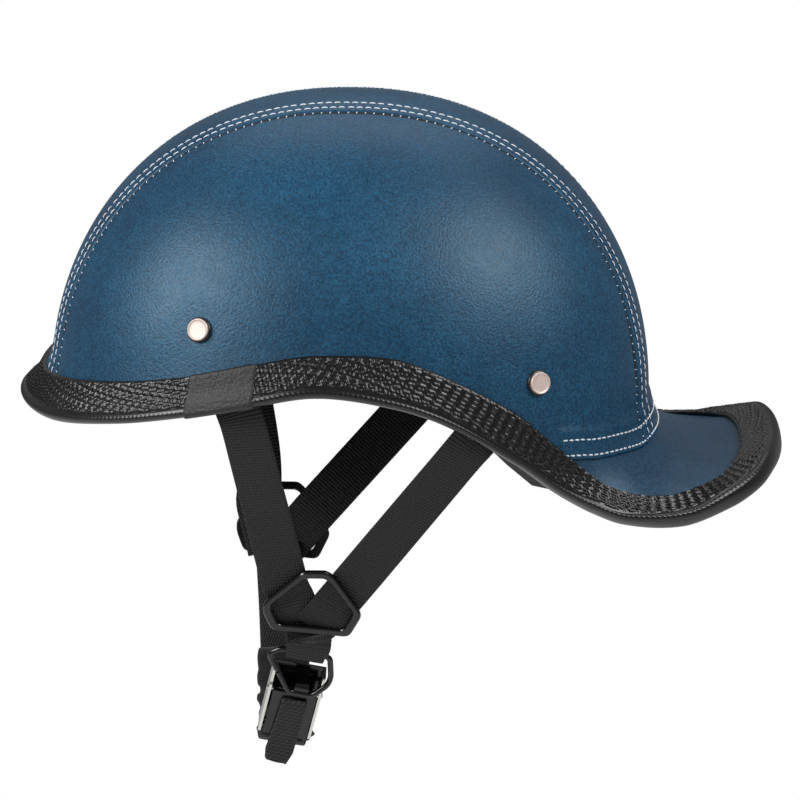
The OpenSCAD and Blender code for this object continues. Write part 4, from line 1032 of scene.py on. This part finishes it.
# %% [markdown]
# ### The straps of the V
# Each strap lies flat under its rivet, runs down between shell and foam, leaves at the rim and
# ends round a bar of the slider.

# %% Straps
def plan_outward(a):
    """Horizontal direction out of the wall at a plan angle."""
    p, q = (plan_r(a + t) * np.array([cos_d(a + t), sin_d(a + t)]) for t in (0.4, -0.4))
    t = p - q
    return unit(np.array([t[1], -t[0], 0.0])) * (1 if t[1] * p[0] - t[0] * p[1] > 0 else -1)


def v_strap(side, k):
    """One strap: side -1 is the wearer's left, k is 0 for the front and 1 for the rear."""
    bar = BARS[k]
    start = inside_strap(side, k, 1.0)
    # flat under the rivet, then down the inside of the wall
    ra_, rs_ = side * RIVETS[k][0], RIVETS[k][1]
    under, normal = layer(ra_, rs_, -UNDER_SHELL), skin_normal(ra_, rs_)
    first = inside_strap(side, k, 0.36)
    along = unit(np.cross(normal, np.cross(first - under, normal)))
    inner_line = [inside_strap(side, k, s) for s in (0.36, 0.55, 0.75, 0.93)]
    line = [under - along * 8.5, under, under + along * 7] + inner_line
    wall = [normal] * 3 + [plan_outward(math.degrees(math.atan2(p[1], p[0]))) for p in inner_line]
    out = flip_side(side, SLIDER_OUT)
    above = plate(*bar, -SLIDER_T / 2 - 1.0, side)
    # the far front strap bends a little, behind the near one
    bow = 19.2 if side > 0 and k == 0 else 0.0
    free = [start + (above - start) * f + ALONG * bow * f * f * (1 - f)
            for f in (0.06, 0.25, 0.5, 0.75, 0.92)]
    free_n = [wall[-1] * (1 - f) + out * f for f in (0.1, 0.3, 0.55, 0.85, 1.0)]
    travel = above - free[-2]
    flat = np.array([travel @ ALONG, travel @ flip_side(side, SLIDER_UP)])
    flat /= np.linalg.norm(flat)
    to_low = LOW - bar
    lean = (flat * 0.45 + to_low / np.linalg.norm(to_low) * 0.55)
    reach = (LOW[1] - bar[1]) / lean[1]
    high = -0.6 if k == 1 else -1.9
    window = [bar + lean * reach * f for f in (0.3, 0.55, 0.8, 1.0)]
    depth = [high - 0.9, high, high - 0.6, -SLIDER_T / 2 - (1.0 if k == 1 else 2.5)]
    inner = [plate(*p, d, side) for p, d in zip(window, depth)]
    knots = line + free + [above] + inner
    normals = wall + free_n + [out] * 5
    end_word, word = ("front", "rear")[k], side_word(side)
    obj = ribbon(f"strap_{end_word}_{word}", knots, normals, WEB_W, WEB_T, WEBBING, None)
    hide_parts("strap_ends_" + word, f"{end_word}_strap_{word}")
    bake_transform(obj)
    return obj


straps = [v_strap(side, k) for side in (-1, 1) for k in (0, 1)]
print("straps:", [s.name for s in straps])

# %% [markdown]
# ### Lower loop
# A short doubled length of webbing joins the slider's low bar to the wire ring. It goes once
# round the wire, so its path is a closed hairpin, and it draws in a little where it turns.

# %% Lower loop
loop_knots = [plate(LOW[0] - 1.2, LOW[1] + 1.2, -2.6), plate(LOW[0] - 1.5, LOW[1] - 3, -2.3),
              hang(0, -2.0, 7), hang(0, -2.4, 1.5), hang(0, -2.0, -1.8), hang(0, 0.2, -2.9),
              hang(0, 2.3, -1.2), hang(0, 2.5, 2), hang(0, 1.6, 7.5), plate(LOW[0] - 1.5, LOW[1] - 3, -4.4),
              plate(LOW[0] - 1.2, LOW[1] + 1.2, -4.4)]
loop_n = [SLIDER_OUT] * 2 + [-HANG_IN, -HANG_IN, -HANG_IN - HANG_UP, -HANG_UP, HANG_IN - HANG_UP,
                             HANG_IN, HANG_IN, -SLIDER_OUT, -SLIDER_OUT]
lower = ribbon("lower_loop", loop_knots, loop_n, 19.0, WEB_T, WEBBING, "left_straps", 0.9,
               widths=([0, 0.3, 0.42, 0.58, 0.7, 1], [1.03, 1.0, 0.86, 0.86, 1.0, 1.03]))
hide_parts("lower_loop_left")
print("lower loop:", len(lower.data.vertices), "vertices")

# %% [markdown]
# ## Sliders
# A slider is a thin stamped plate with a window and three bars. A boolean would cut the window,
# but leave edges that bevel badly. Here the outer and the inner outline have the same number
# of points, so rings between them close the plate all round. A chamfer in the rings and a fine
# Bevel modifier give the bright line that runs round every edge of black lacquer.

# %% Rounded outlines and edges
def round_corners(points, radius, steps=5):
    out = []
    n = len(points)
    for i in range(n):
        c = points[i]
        p, q = points[i - 1] - c, points[(i + 1) % n] - c
        r = min(radius, 0.42 * np.linalg.norm(p), 0.42 * np.linalg.norm(q))
        a, b = c + unit(p) * r, c + unit(q) * r
        for t in np.linspace(0, 1, steps):
            out.append((1 - t) ** 2 * a + 2 * t * (1 - t) * c + t * t * b)
    return np.array(out)


def soft_edge(obj, width_mm, angle):
    """A fine bevel on every edge sharper than the angle, in degrees."""
    edge = obj.modifiers.new("soft edge", "BEVEL")
    edge.width, edge.segments, edge.limit_method = width_mm * MM, 2, "ANGLE"
    edge.angle_limit = math.radians(angle)

# %% Sliders
def slider(side):
    outer = round_corners(OUTLINE * SLIDER_HALF, 2.6)
    inner = round_corners(OUTLINE * (SLIDER_HALF - SLIDER_BAR), 2.2)
    bevel, half = 0.75, SLIDER_T / 2
    centre = np.array([0.0, -1.0])

    def shrink(ring, d):
        way = ring - centre
        return ring - way / np.linalg.norm(way, axis=1, keepdims=True) * d
    rings = [(shrink(inner, 0.0), -half + bevel * 0.6), (shrink(inner, 0), half - bevel),
             (shrink(inner, -bevel * 0.8), half), (shrink(outer, bevel * 0.9), half),
             (outer, half - bevel), (outer, -half + bevel * 0.6), (shrink(outer, bevel * 0.6), -half),
             (shrink(inner, -bevel * 0.6), -half)]
    pts = np.array([[plate(x, y, z, side) for x, y in ring] for ring, z in rings])
    word = side_word(side)
    n, m = pts.shape[:2]
    obj = mesh_object("slider_plate_" + word, pts.reshape(-1, 3), grid_faces(n, m, True, True, flip=side < 0),
                      body=word + "_straps", smooth=False)
    soft_edge(obj, 0.22, 25)
    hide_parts("slider_" + word)
    return dress(obj, BLACK_METAL)


print("sliders:", [slider(s).name for s in (-1, 1)])

# %% [markdown]
# ## Ring and buckle
# The ring is one length of steel wire, bent at six corners, whose ends almost meet. A bevelled
# curve would do for one wire; a tube made from a path lets the butt ends be rounded and the
# low corner pass in front of the buckle.

# %% Tube along a path
def tube(name, path, radius, mat, body, sides=16, step=0.7):
    line, _ = resample(path, step)
    d = unit(np.gradient(line, axis=0))
    x = unit(np.cross(HANG_IN, d))
    y = np.cross(d, x)
    t = np.linspace(0, 2 * np.pi, sides, endpoint=False)
    ends = np.ones(len(line))
    ends[0] = ends[-1] = 0.86
    ring_ = x[:, None] * np.cos(t)[None, :, None] + y[:, None] * np.sin(t)[None, :, None]
    pts = line[:, None] + ring_ * (radius * ends)[:, None, None]
    faces = [tuple(f) for f in grid_faces(len(line), sides, wrap_m=True)]
    faces += [tuple(range(sides))[::-1], tuple(range((len(line) - 1) * sides, len(line) * sides))]
    return dress(mesh_object(name, pts.reshape(-1, 3), faces, body=body), mat)

# %% Wire ring
RING_W, RING_H = 30.0, 19.5
RING = np.array([[-0.35, 0], [-0.52, -0.22], [-0.1, -0.97], [0.23, -0.97], [0.45, -0.6], [0.35, 0]])
CORNERS = (0.7, 1.05, 0.6, 0.6, 1.05, 0.8)
ring_flat = RING * (RING_W, RING_H)
ring_curve = []
for i in (2, 3, 4, 5, 0, 1):
    c = ring_flat[i]
    a = c + unit(ring_flat[i - 1] - c) * CORNERS[i] * 3
    b = c + unit(ring_flat[(i + 1) % 6] - c) * CORNERS[i] * 3
    ring_curve += [(1 - t) ** 2 * a + 2 * t * (1 - t) * c + t * t * b for t in np.linspace(0, 1, 8)]
joint_at = ring_flat[1] * 0.52 + ring_flat[2] * 0.48
way = unit(ring_flat[2] - ring_flat[1])
ring_curve = [joint_at + way * 0.3] + ring_curve + [joint_at - way * 0.3]
# the low corner lies in front of the buckle
ring_path = np.array([hang(x, -2.2 * float(step_between(-z, 7, 17)), z - 2.0 * float(step_between(-z, 6, 18)))
                      for x, z in ring_curve])
wire = tube("wire_ring_bent", ring_path, 1.25, BLACK_METAL, "chin_link")
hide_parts("wire_ring")
print("wire ring:", round(resample(ring_path, 1.0)[1][-1]), "mm of wire")

# %% [markdown]
# ### Frame parts that keep their shape
# The buckle, its lever, pins and toothed tongue, the shell and the foam are exact solids
# already, so nothing is modelled twice: each gets its finish, and most of the buckle's parts also a
# fine bevel. Real metal has no razor edges, and without a bevel no edge would catch the light. The
# buckle's floor is lacquered black and its two side walls are bare nickel, which is set face by face.

# %% Finishes of the frame parts
def finish_node(name, mat, bevel_mm):
    """A frame part keeps its shape; it gets a material and, for a width above zero, a fine bevel."""
    obj = nodes[name]
    dress(obj, mat)
    if bevel_mm:
        soft_edge(obj, bevel_mm, 35)


for name, mat, edge in (("buckle_frame", NICKEL, 0.3), ("lever_pin", NICKEL, 0.2), ("pawl_pin", NICKEL, 0),
                        ("lever_spring", NICKEL, 0), ("ratchet_pawl", NICKEL, 0.1),
                        ("buckle_lever", BLACK_PLASTIC, 0.7), ("toothed_tongue", BLACK_METAL, 0.2),
                        ("hard_shell", SHELL, 0), ("impact_liner", FOAM, 0), ("rivet_posts", NICKEL, 0),
                        ("rivet_washers", NICKEL, 0.2)):
    finish_node(name, mat, edge)

# faces near the two outer sides of the buckle are its nickel walls
WALL_MM = 1.3
body_mesh = nodes["buckle_frame"]
body_mesh.data.materials.append(BLACK_METAL)
across = np.array([(body_mesh.matrix_world @ v.co) / MM for v in body_mesh.data.vertices]) @ ACROSS
across = np.abs(across - (across.max() + across.min()) / 2)
for face in body_mesh.data.polygons:
    wall = min(across[i] for i in face.vertices) > across.max() - WALL_MM
    face.material_index = 0 if wall else 1
print("frame parts finished with materials")

# %% [markdown]
# ### Pull tab and tongue loop
# The rider opens the buckle by pulling a short tab of coarser webbing, stitched to the lever
# and cut ragged at its end. The chin strap's other end is sewn round the tongue's bar. Both
# are ribbons again, and each rides on the moving part that it is sewn to.

# %% Pull tab and tongue loop
BUCKLE_IN, BUCKLE_H, BUCKLE_L, SHEET = 2.0, 8, 34, 1.2  # place inwards, depth, length, metal
BUCKLE_TOP = -0.72 * RING_H
LEVER_HUB, HUB_DROP, TAB_L, TAB_SEWN = 5.4, 3.2, 41, 4
PIN_UP = RING[2, 1] * RING_H - LEVER_HUB / 2 - HUB_DROP  # the lever's pin, in the hanging plane
FRONT = BUCKLE_IN - 0.6 - 2.2  # the lever's face, inwards from the ring
tab_top = PIN_UP + 1.8
tab_end = tab_top + TAB_SEWN - TAB_L
tab_knots = [hang(0.4, FRONT + 0.4, tab_top - 3.8), hang(0.4, FRONT - 0.7, tab_top - 3.0),
             hang(0.4, FRONT - 1.5, tab_top - 4.8), hang(0.2, FRONT - 1.6, tab_top - 10),
             hang(-0.2, FRONT - 1.3, tab_top - 20), hang(-0.4, FRONT - 1.0, tab_end + 9),
             hang(-0.8, FRONT - 1.4, tab_end + 3), hang(-1.2, FRONT - 2.0, tab_end)]
tab = ribbon("pull_tab_webbing", tab_knots, [-HANG_IN] * 8, 11.6, 1.8, TAB_WEBBING, "lever",
             0.8, ragged=0.45, widths=([0, 0.05, 0.5, 0.85, 1], [0.8, 0.95, 1.0, 1.06, 0.86]))
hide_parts("pull_tab")

TONGUE_T, TONGUE_GAP, LOOP_R, LOOP_T = 1.3, 0.2, 2.1, 1.3
BAR_IN = BUCKLE_IN + BUCKLE_H - SHEET - TONGUE_GAP - TONGUE_T  # the tongue's bar
BAR_UP = BUCKLE_TOP - BUCKLE_L - 4.8
turns = np.linspace(0, 2 * np.pi, 13)
wrap = [hang(0, BAR_IN + LOOP_R * math.sin(t), BAR_UP + LOOP_R * math.cos(t) - 0.2) for t in turns]
wrap_n = [HANG_IN * math.sin(t) + HANG_UP * math.cos(t) for t in turns]
loop_end = ribbon("tongue_loop_webbing", wrap, wrap_n, 18.4, LOOP_T, WEBBING, "tongue", 0.7)
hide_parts("tongue_loop")
print("tab:", round(float(tab_top - tab_end)), "mm below the pin")

# %% [markdown]
# ### Chin strap
# The chin strap runs from the buckle under the chin and up to the far slider, where it is sewn
# in a roomy loop round the low bar. The loop is wide on purpose: when the harness swings, the
# bar moves inside it. A path through listed points keeps the strap's sag exactly where the frame has it.

# %% Chin strap
def far_bar(up, out):
    """A place beside the far slider's low bar, square to the bar."""
    return plate(LOW[0] + up * math.sin(LOW_TURN), LOW[1] + up * math.cos(LOW_TURN), out, 1)


FAR_END = far_bar(-7, 0)
CHIN_START = hang(0, BAR_IN + LOOP_T + 0.5 + 1.5 * WEB_T, BAR_UP)
CHIN_LOW = -157.5  # height of the strap's lowest place
chin_knots = [CHIN_START] + [np.array(p) for p in (
    (-29.4, -21.2, CHIN_LOW + 7.2), (-29.3, -15.5, CHIN_LOW + 3), (-29, -6, CHIN_LOW + 0.4),
    (-29, 6, CHIN_LOW), (-29.4, 19, CHIN_LOW + 4.5), (-30.3, 32, CHIN_LOW + 14),
    (-31.3, 42, CHIN_LOW + 27), (-32.3, 49, CHIN_LOW + 44))] + [FAR_END]
bar_far = flip_side(1, tilted(LOW_TURN))
chin_side = [unit(ACROSS * (1 - t) + bar_far * t) for t in np.linspace(0, 1, 10)]
chin_dir = unit(np.gradient(np.array(chin_knots), axis=0))
chin_n = [np.cross(w, d) for w, d in zip(chin_side, chin_dir)]
far_out = flip_side(1, SLIDER_OUT)
far_up = unit(far_bar(1, 0) - far_bar(0, 0))
wrap_far = [FAR_END, far_bar(-4, 4.0), far_bar(2.0, 4.4), far_bar(5.1, 0.4), far_bar(2.0, -4.2),
            far_bar(-4, -4.0), far_bar(-9.5, -2.2)]
chin = ribbon("chin_strap_webbing", chin_knots, chin_n, WEB_W, WEB_T, WEBBING, "chin_link")
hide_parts("chin_strap")
far_n = [far_out, far_out, far_out, far_up, -far_out, -far_out, -far_out]
ribbon("chin_strap_far_loop", wrap_far, far_n, 17.2, WEB_T, WEBBING, "chin_link", 0.9)
print("chin strap:", len(chin.data.vertices), "vertices")

# %% [markdown]
# ## Pads and linings
# A pad is a cloth cover filled with foam. Modelled directly it tends to look like a bar of
# soap, because stuffed cloth bulges between its seams and not at them. So a pad starts as a
# slightly thin closed form. `swell` remeshes it evenly and lets Blender's cloth simulation
# inflate it with a little pressure, then caps how far any point may move, so that the pad
# still fits the space that the frame gives it.

# %% Cloth helper
def swell(obj, voxel_mm, cap_mm, pressure=4.0, frames=20):
    scene = bpy.context.scene
    even = obj.modifiers.new("even mesh", "REMESH")
    even.mode, even.voxel_size, even.use_smooth_shade = "VOXEL", voxel_mm * MM, True
    graph = bpy.context.evaluated_depsgraph_get()
    obj.data = bpy.data.meshes.new_from_object(obj.evaluated_get(graph))
    obj.modifiers.clear()
    start = np.array([v.co for v in obj.data.vertices])
    cloth = obj.modifiers.new("cloth", "CLOTH")
    cloth.settings.use_pressure = True
    cloth.settings.uniform_pressure_force = pressure
    cloth.settings.quality = 4
    cloth.settings.effector_weights.gravity = 0
    for f in range(1, frames + 1):
        scene.frame_set(f)
    graph = bpy.context.evaluated_depsgraph_get()
    moved = np.array([v.co for v in obj.evaluated_get(graph).data.vertices])
    way = moved - start
    length = np.linalg.norm(way, axis=1, keepdims=True)
    way *= np.minimum(1, cap_mm * MM / np.maximum(length, 1e-9))
    obj.modifiers.clear()
    obj.data.vertices.foreach_set("co", (start + way).astype(np.float32).ravel())
    scene.frame_set(1)
    print(obj.name, "swelled by up to", round(float(np.linalg.norm(way, axis=1).max()) * 1000, 1), "mm")
    soft = obj.modifiers.new("smooth", "SUBSURF")
    soft.levels = soft.render_levels = 1
    return obj

# %% [markdown]
# ### Chin pad
# A soft sleeve round the low part of the chin strap. Its section is a rounded box, its ends
# taper, and a slow wave along it stands for the quilting that keeps the filling in place.

# %% Chin pad
pad_path, pad_at = resample(catmull(chin_knots[1:8], 10)[5:], 1.2)
pad_dir = unit(np.gradient(pad_path, axis=0))
strap_part = np.linspace(0.12, 0.82, len(pad_path))
pad_side = unit(np.stack([np.interp(strap_part, np.linspace(0, 1, 10), np.array(chin_side)[:, i])
                          for i in range(3)], 1))
pad_up = unit(np.cross(pad_side, pad_dir))
pad_side = np.cross(pad_dir, pad_up)
turn = np.linspace(0, 2 * np.pi, 28, endpoint=False)
px = 0.5 * np.sign(np.cos(turn)) * np.abs(np.cos(turn)) ** 0.6
ph = 0.5 + 0.5 * np.sign(np.sin(turn)) * np.abs(np.sin(turn)) ** 0.7
u = np.linspace(0, 1, len(pad_path))
ends = np.interp(u, [0, 0.04, 0.1, 0.9, 0.96, 1], [0.4, 0.82, 1, 1, 0.82, 0.4])
wave = 0.5 + 0.5 * np.cos(2 * np.pi * pad_at / 12.5)
pad_width = 26.6 * (0.8 + 0.2 * ends) * (1 - 0.07 * wave)
pad_high = 5.6 * ends * (1 - 0.22 * wave)
pad_pts = pad_path[:, None] + pad_side[:, None] * (px[None, :, None] * pad_width[:, None, None]) \
    + pad_up[:, None] * (1.2 + ph[None, :, None] * pad_high[:, None, None])
size = len(turn)
faces = [tuple(f) for f in grid_faces(len(u), size, wrap_m=True)]
faces += [tuple(range(size))[::-1], tuple(range((len(u) - 1) * size, len(u) * size))]
pad = mesh_object("chin_pad_cushion", pad_pts.reshape(-1, 3), faces, body=None)
swell(pad, 2.2, 1.0)
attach(pad, "chin_link")
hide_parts("chin_pad")
dress(pad, PAD_CLOTH)

# %% [markdown]
# ### Lining and head band
# Inside, a quilted cloth lines the foam's dome and a padded band runs round the head. Both
# follow the same inner dome, drawn in from the outer formula, so they stay clear of the foam.
# The lining is too large to simulate quickly and hangs from its seams anyway, so its quilting
# is shaped by a formula. The band is stuffed, so it is swelled like the chin pad.

# %% Crown lining
def foam_end(a):
    return np.maximum(-0.2 * HEIGHT, HEIGHT * smooth_at(a, RIM_A, RIM_Z) + 0.03 * HEIGHT)


def inner_place(a, s, inset, z_end):
    """A point on the plain dome drawn in by an inset, from the crown down to a height."""
    h_end = np.clip(z_end / (HEIGHT - 24), 0, 1)
    start = np.arcsin(h_end ** (POWER_UP / 2))
    part = np.where(z_end < 0, 0.86, 1.0)
    b = np.pi / 2 - (np.pi / 2 - start) * np.minimum(1, s / part)
    z = (HEIGHT - inset) * np.clip(np.sin(b), 0, 1) ** (2 / POWER_UP)
    r = plan_r(a, inset) * np.clip(np.cos(b), 0, 1) ** (2 / POWER_UP)
    z = np.where(s <= part, z, z_end * (s - part) / np.maximum(1 - part, 1e-6))
    return np.stack(np.broadcast_arrays(r * cos_d(a), r * sin_d(a), z), -1)


BAND_H, LINING_IN = 0.2 * HEIGHT, 24.0
la, ls = np.meshgrid(np.linspace(0, 360, 180, endpoint=False), np.linspace(0.012, 1, 60), indexing="ij")
lz = foam_end(la) + BAND_H - 1
quilt = np.abs(np.sin(np.radians(la) * 6)) * np.minimum(1, ls * 2.2)
quilt = np.clip(quilt, 0, 1) ** 0.45 * (1 - 0.8 * np.exp(-((ls - 0.5) / 0.035) ** 2))
lining_pts = inner_place(la, ls, LINING_IN + 1.0 + 2.6 * quilt * (1 - 0.7 * step_between(ls, 0.93, 1)), lz)
lining = grid_mesh("crown_lining_cloth", lining_pts, wrap_n=True)
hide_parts("crown_lining")
dress(lining, CLOTH)
print("lining:", len(lining.data.vertices), "vertices")

# %% Head band
ba_, bt = np.meshgrid(np.linspace(0, 360, 200, endpoint=False),
                      np.linspace(0, 2 * np.pi, 20, endpoint=False), indexing="ij")
seam = np.exp(-(((ba_ + 22.5) % 45 - 22.5) / 1.6) ** 2)
deep = 0.5 - 0.5 * np.sign(np.cos(bt)) * np.abs(np.cos(bt)) ** 0.8
high = 0.5 + 0.5 * np.sign(np.sin(bt)) * np.abs(np.sin(bt)) ** 0.75
band_in = LINING_IN + 0.4 + deep * 4.4 * (1 - 0.45 * seam)
band_z = foam_end(ba_) + 1 + (0.03 + 0.94 * high) * (BAND_H - 2)
band_r = plan_r(ba_, band_in) * ring_share(band_z / (HEIGHT - band_in))
band_pts = np.stack([band_r * cos_d(ba_), band_r * sin_d(ba_), band_z], -1)
head_pad = grid_mesh("head_band_pad", band_pts, None, wrap_n=True, wrap_m=True)
swell(head_pad, 3.6, 0.8)
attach(head_pad, "helmet")
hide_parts("head_band")
dress(head_pad, CLOTH)

# %% [markdown]
# ## Light, camera and background
# Leather shows its shape by broad soft highlights, so two large softboxes stand left and right
# of the camera and a weaker one behind the helmet. Small hard lights would show the grain but
# break the dome into glints. The world lights the scene a little, yet looks plain white
# wherever the camera sees past the helmet: a Light Path node tells the two apart.

# %% Lights
def area_light(name, place, target, size, power):
    data = bpy.data.lights.new(name, "AREA")
    data.shape = "RECTANGLE"
    data.size, data.size_y = size
    data.energy = power
    lamp = bpy.data.objects.new(name, data)
    lamp.location = place
    lamp.rotation_euler = (Vector(target) - Vector(place)).to_track_quat("-Z", "Y").to_euler()
    bpy.context.scene.collection.objects.link(lamp)
    return lamp


def from_angles(azimuth, elevation, distance):
    """A place round the helmet: azimuth 0 is straight in front of the camera's side."""
    a, e = math.radians(azimuth), math.radians(elevation)
    return (distance * math.sin(a) * math.cos(e), -distance * math.cos(a) * math.cos(e),
            distance * math.sin(e))


area_light("left_softbox", from_angles(-58, 30, 1.3), (0, 0, 0.05), (0.8, 0.6), 17)
area_light("right_softbox", from_angles(62, 42, 1.3), (0, 0, 0.05), (0.8, 0.6), 14)
area_light("top_softbox", from_angles(178, 58, 1.3), (0, 0, 0.05), (1.1, 0.5), 3.5)

# %% World
world = bpy.data.worlds.new("white studio")
bpy.context.scene.world = world
world.use_nodes = True
wt = world.node_tree
for node in list(wt.nodes):
    wt.nodes.remove(node)
back_light = add(wt, "ShaderNodeBackground", Color=(1, 1, 1, 1), Strength=0.24)
back_white = add(wt, "ShaderNodeBackground", Color=(1, 1, 1, 1), Strength=1.0)
path = wt.nodes.new("ShaderNodeLightPath")
mixer = wt.nodes.new("ShaderNodeMixShader")
out = wt.nodes.new("ShaderNodeOutputWorld")
wt.links.new(path.outputs["Is Camera Ray"], mixer.inputs[0])
wt.links.new(back_light.outputs[0], mixer.inputs[1])
wt.links.new(back_white.outputs[0], mixer.inputs[2])
wt.links.new(mixer.outputs[0], out.inputs[0])

# %% Floor
FLOOR_HALF, FLOOR_Z = 4, -0.55
corners = [(x * FLOOR_HALF, y * FLOOR_HALF, FLOOR_Z) for x, y in ((-1, -1), (1, -1), (1, 1), (-1, 1))]
floor_mesh = bpy.data.meshes.new("floor")
floor_mesh.from_pydata(corners, [], [(0, 1, 2, 3)])
floor = bpy.data.objects.new("floor", floor_mesh)
bpy.context.scene.collection.objects.link(floor)
floor_mat, floor_tree, floor_bsdf = shader("pale floor", (0.85, 0.85, 0.85), 0.9, specular=0.0)
glow = add(floor_tree, "ShaderNodeEmission", Color=(1, 1, 1, 1), Strength=1.0)
seen = floor_tree.nodes.new("ShaderNodeLightPath")
pick = floor_tree.nodes.new("ShaderNodeMixShader")
floor_tree.links.new(seen.outputs["Is Camera Ray"], pick.inputs[0])
floor_tree.links.new(floor_bsdf.outputs[0], pick.inputs[1])
floor_tree.links.new(glow.outputs[0], pick.inputs[2])
floor_tree.links.new(pick.outputs[0], floor_tree.nodes["Material Output"].inputs["Surface"])
floor_mesh.materials.append(floor_mat)
print("lights:", len(bpy.data.lights), "and a floor at", FLOOR_Z, "m")

# %% [markdown]
# ### Camera
# A long lens from over two metres away keeps the helmet's proportions, as a product
# photographer would. Its focal length follows from the distance and the size of one pixel.

# %% Camera
scene = bpy.context.scene
scene.view_settings.view_transform = "Standard"
camera_data = bpy.data.cameras.new("camera")
camera = bpy.data.objects.new("camera", camera_data)
scene.collection.objects.link(camera)
scene.camera = camera
AZIMUTH, ELEVATION, DISTANCE = math.radians(2), math.radians(15), 2.2
back = Vector((math.sin(AZIMUTH) * math.cos(ELEVATION), -math.cos(AZIMUTH) * math.cos(ELEVATION),
               math.sin(ELEVATION)))
camera.location = back * DISTANCE
camera.rotation_euler = back.to_track_quat("Z", "Y").to_euler()
SENSOR, PIXELS, MM_PER_PIXEL = 36, 800, 0.43
camera_data.sensor_width = SENSOR
camera_data.lens = SENSOR * DISTANCE / (PIXELS * MM_PER_PIXEL * MM)
camera_data.shift_x, camera_data.shift_y = 0.0625, -0.01375
print("camera lens:", round(camera_data.lens, 1), "mm")
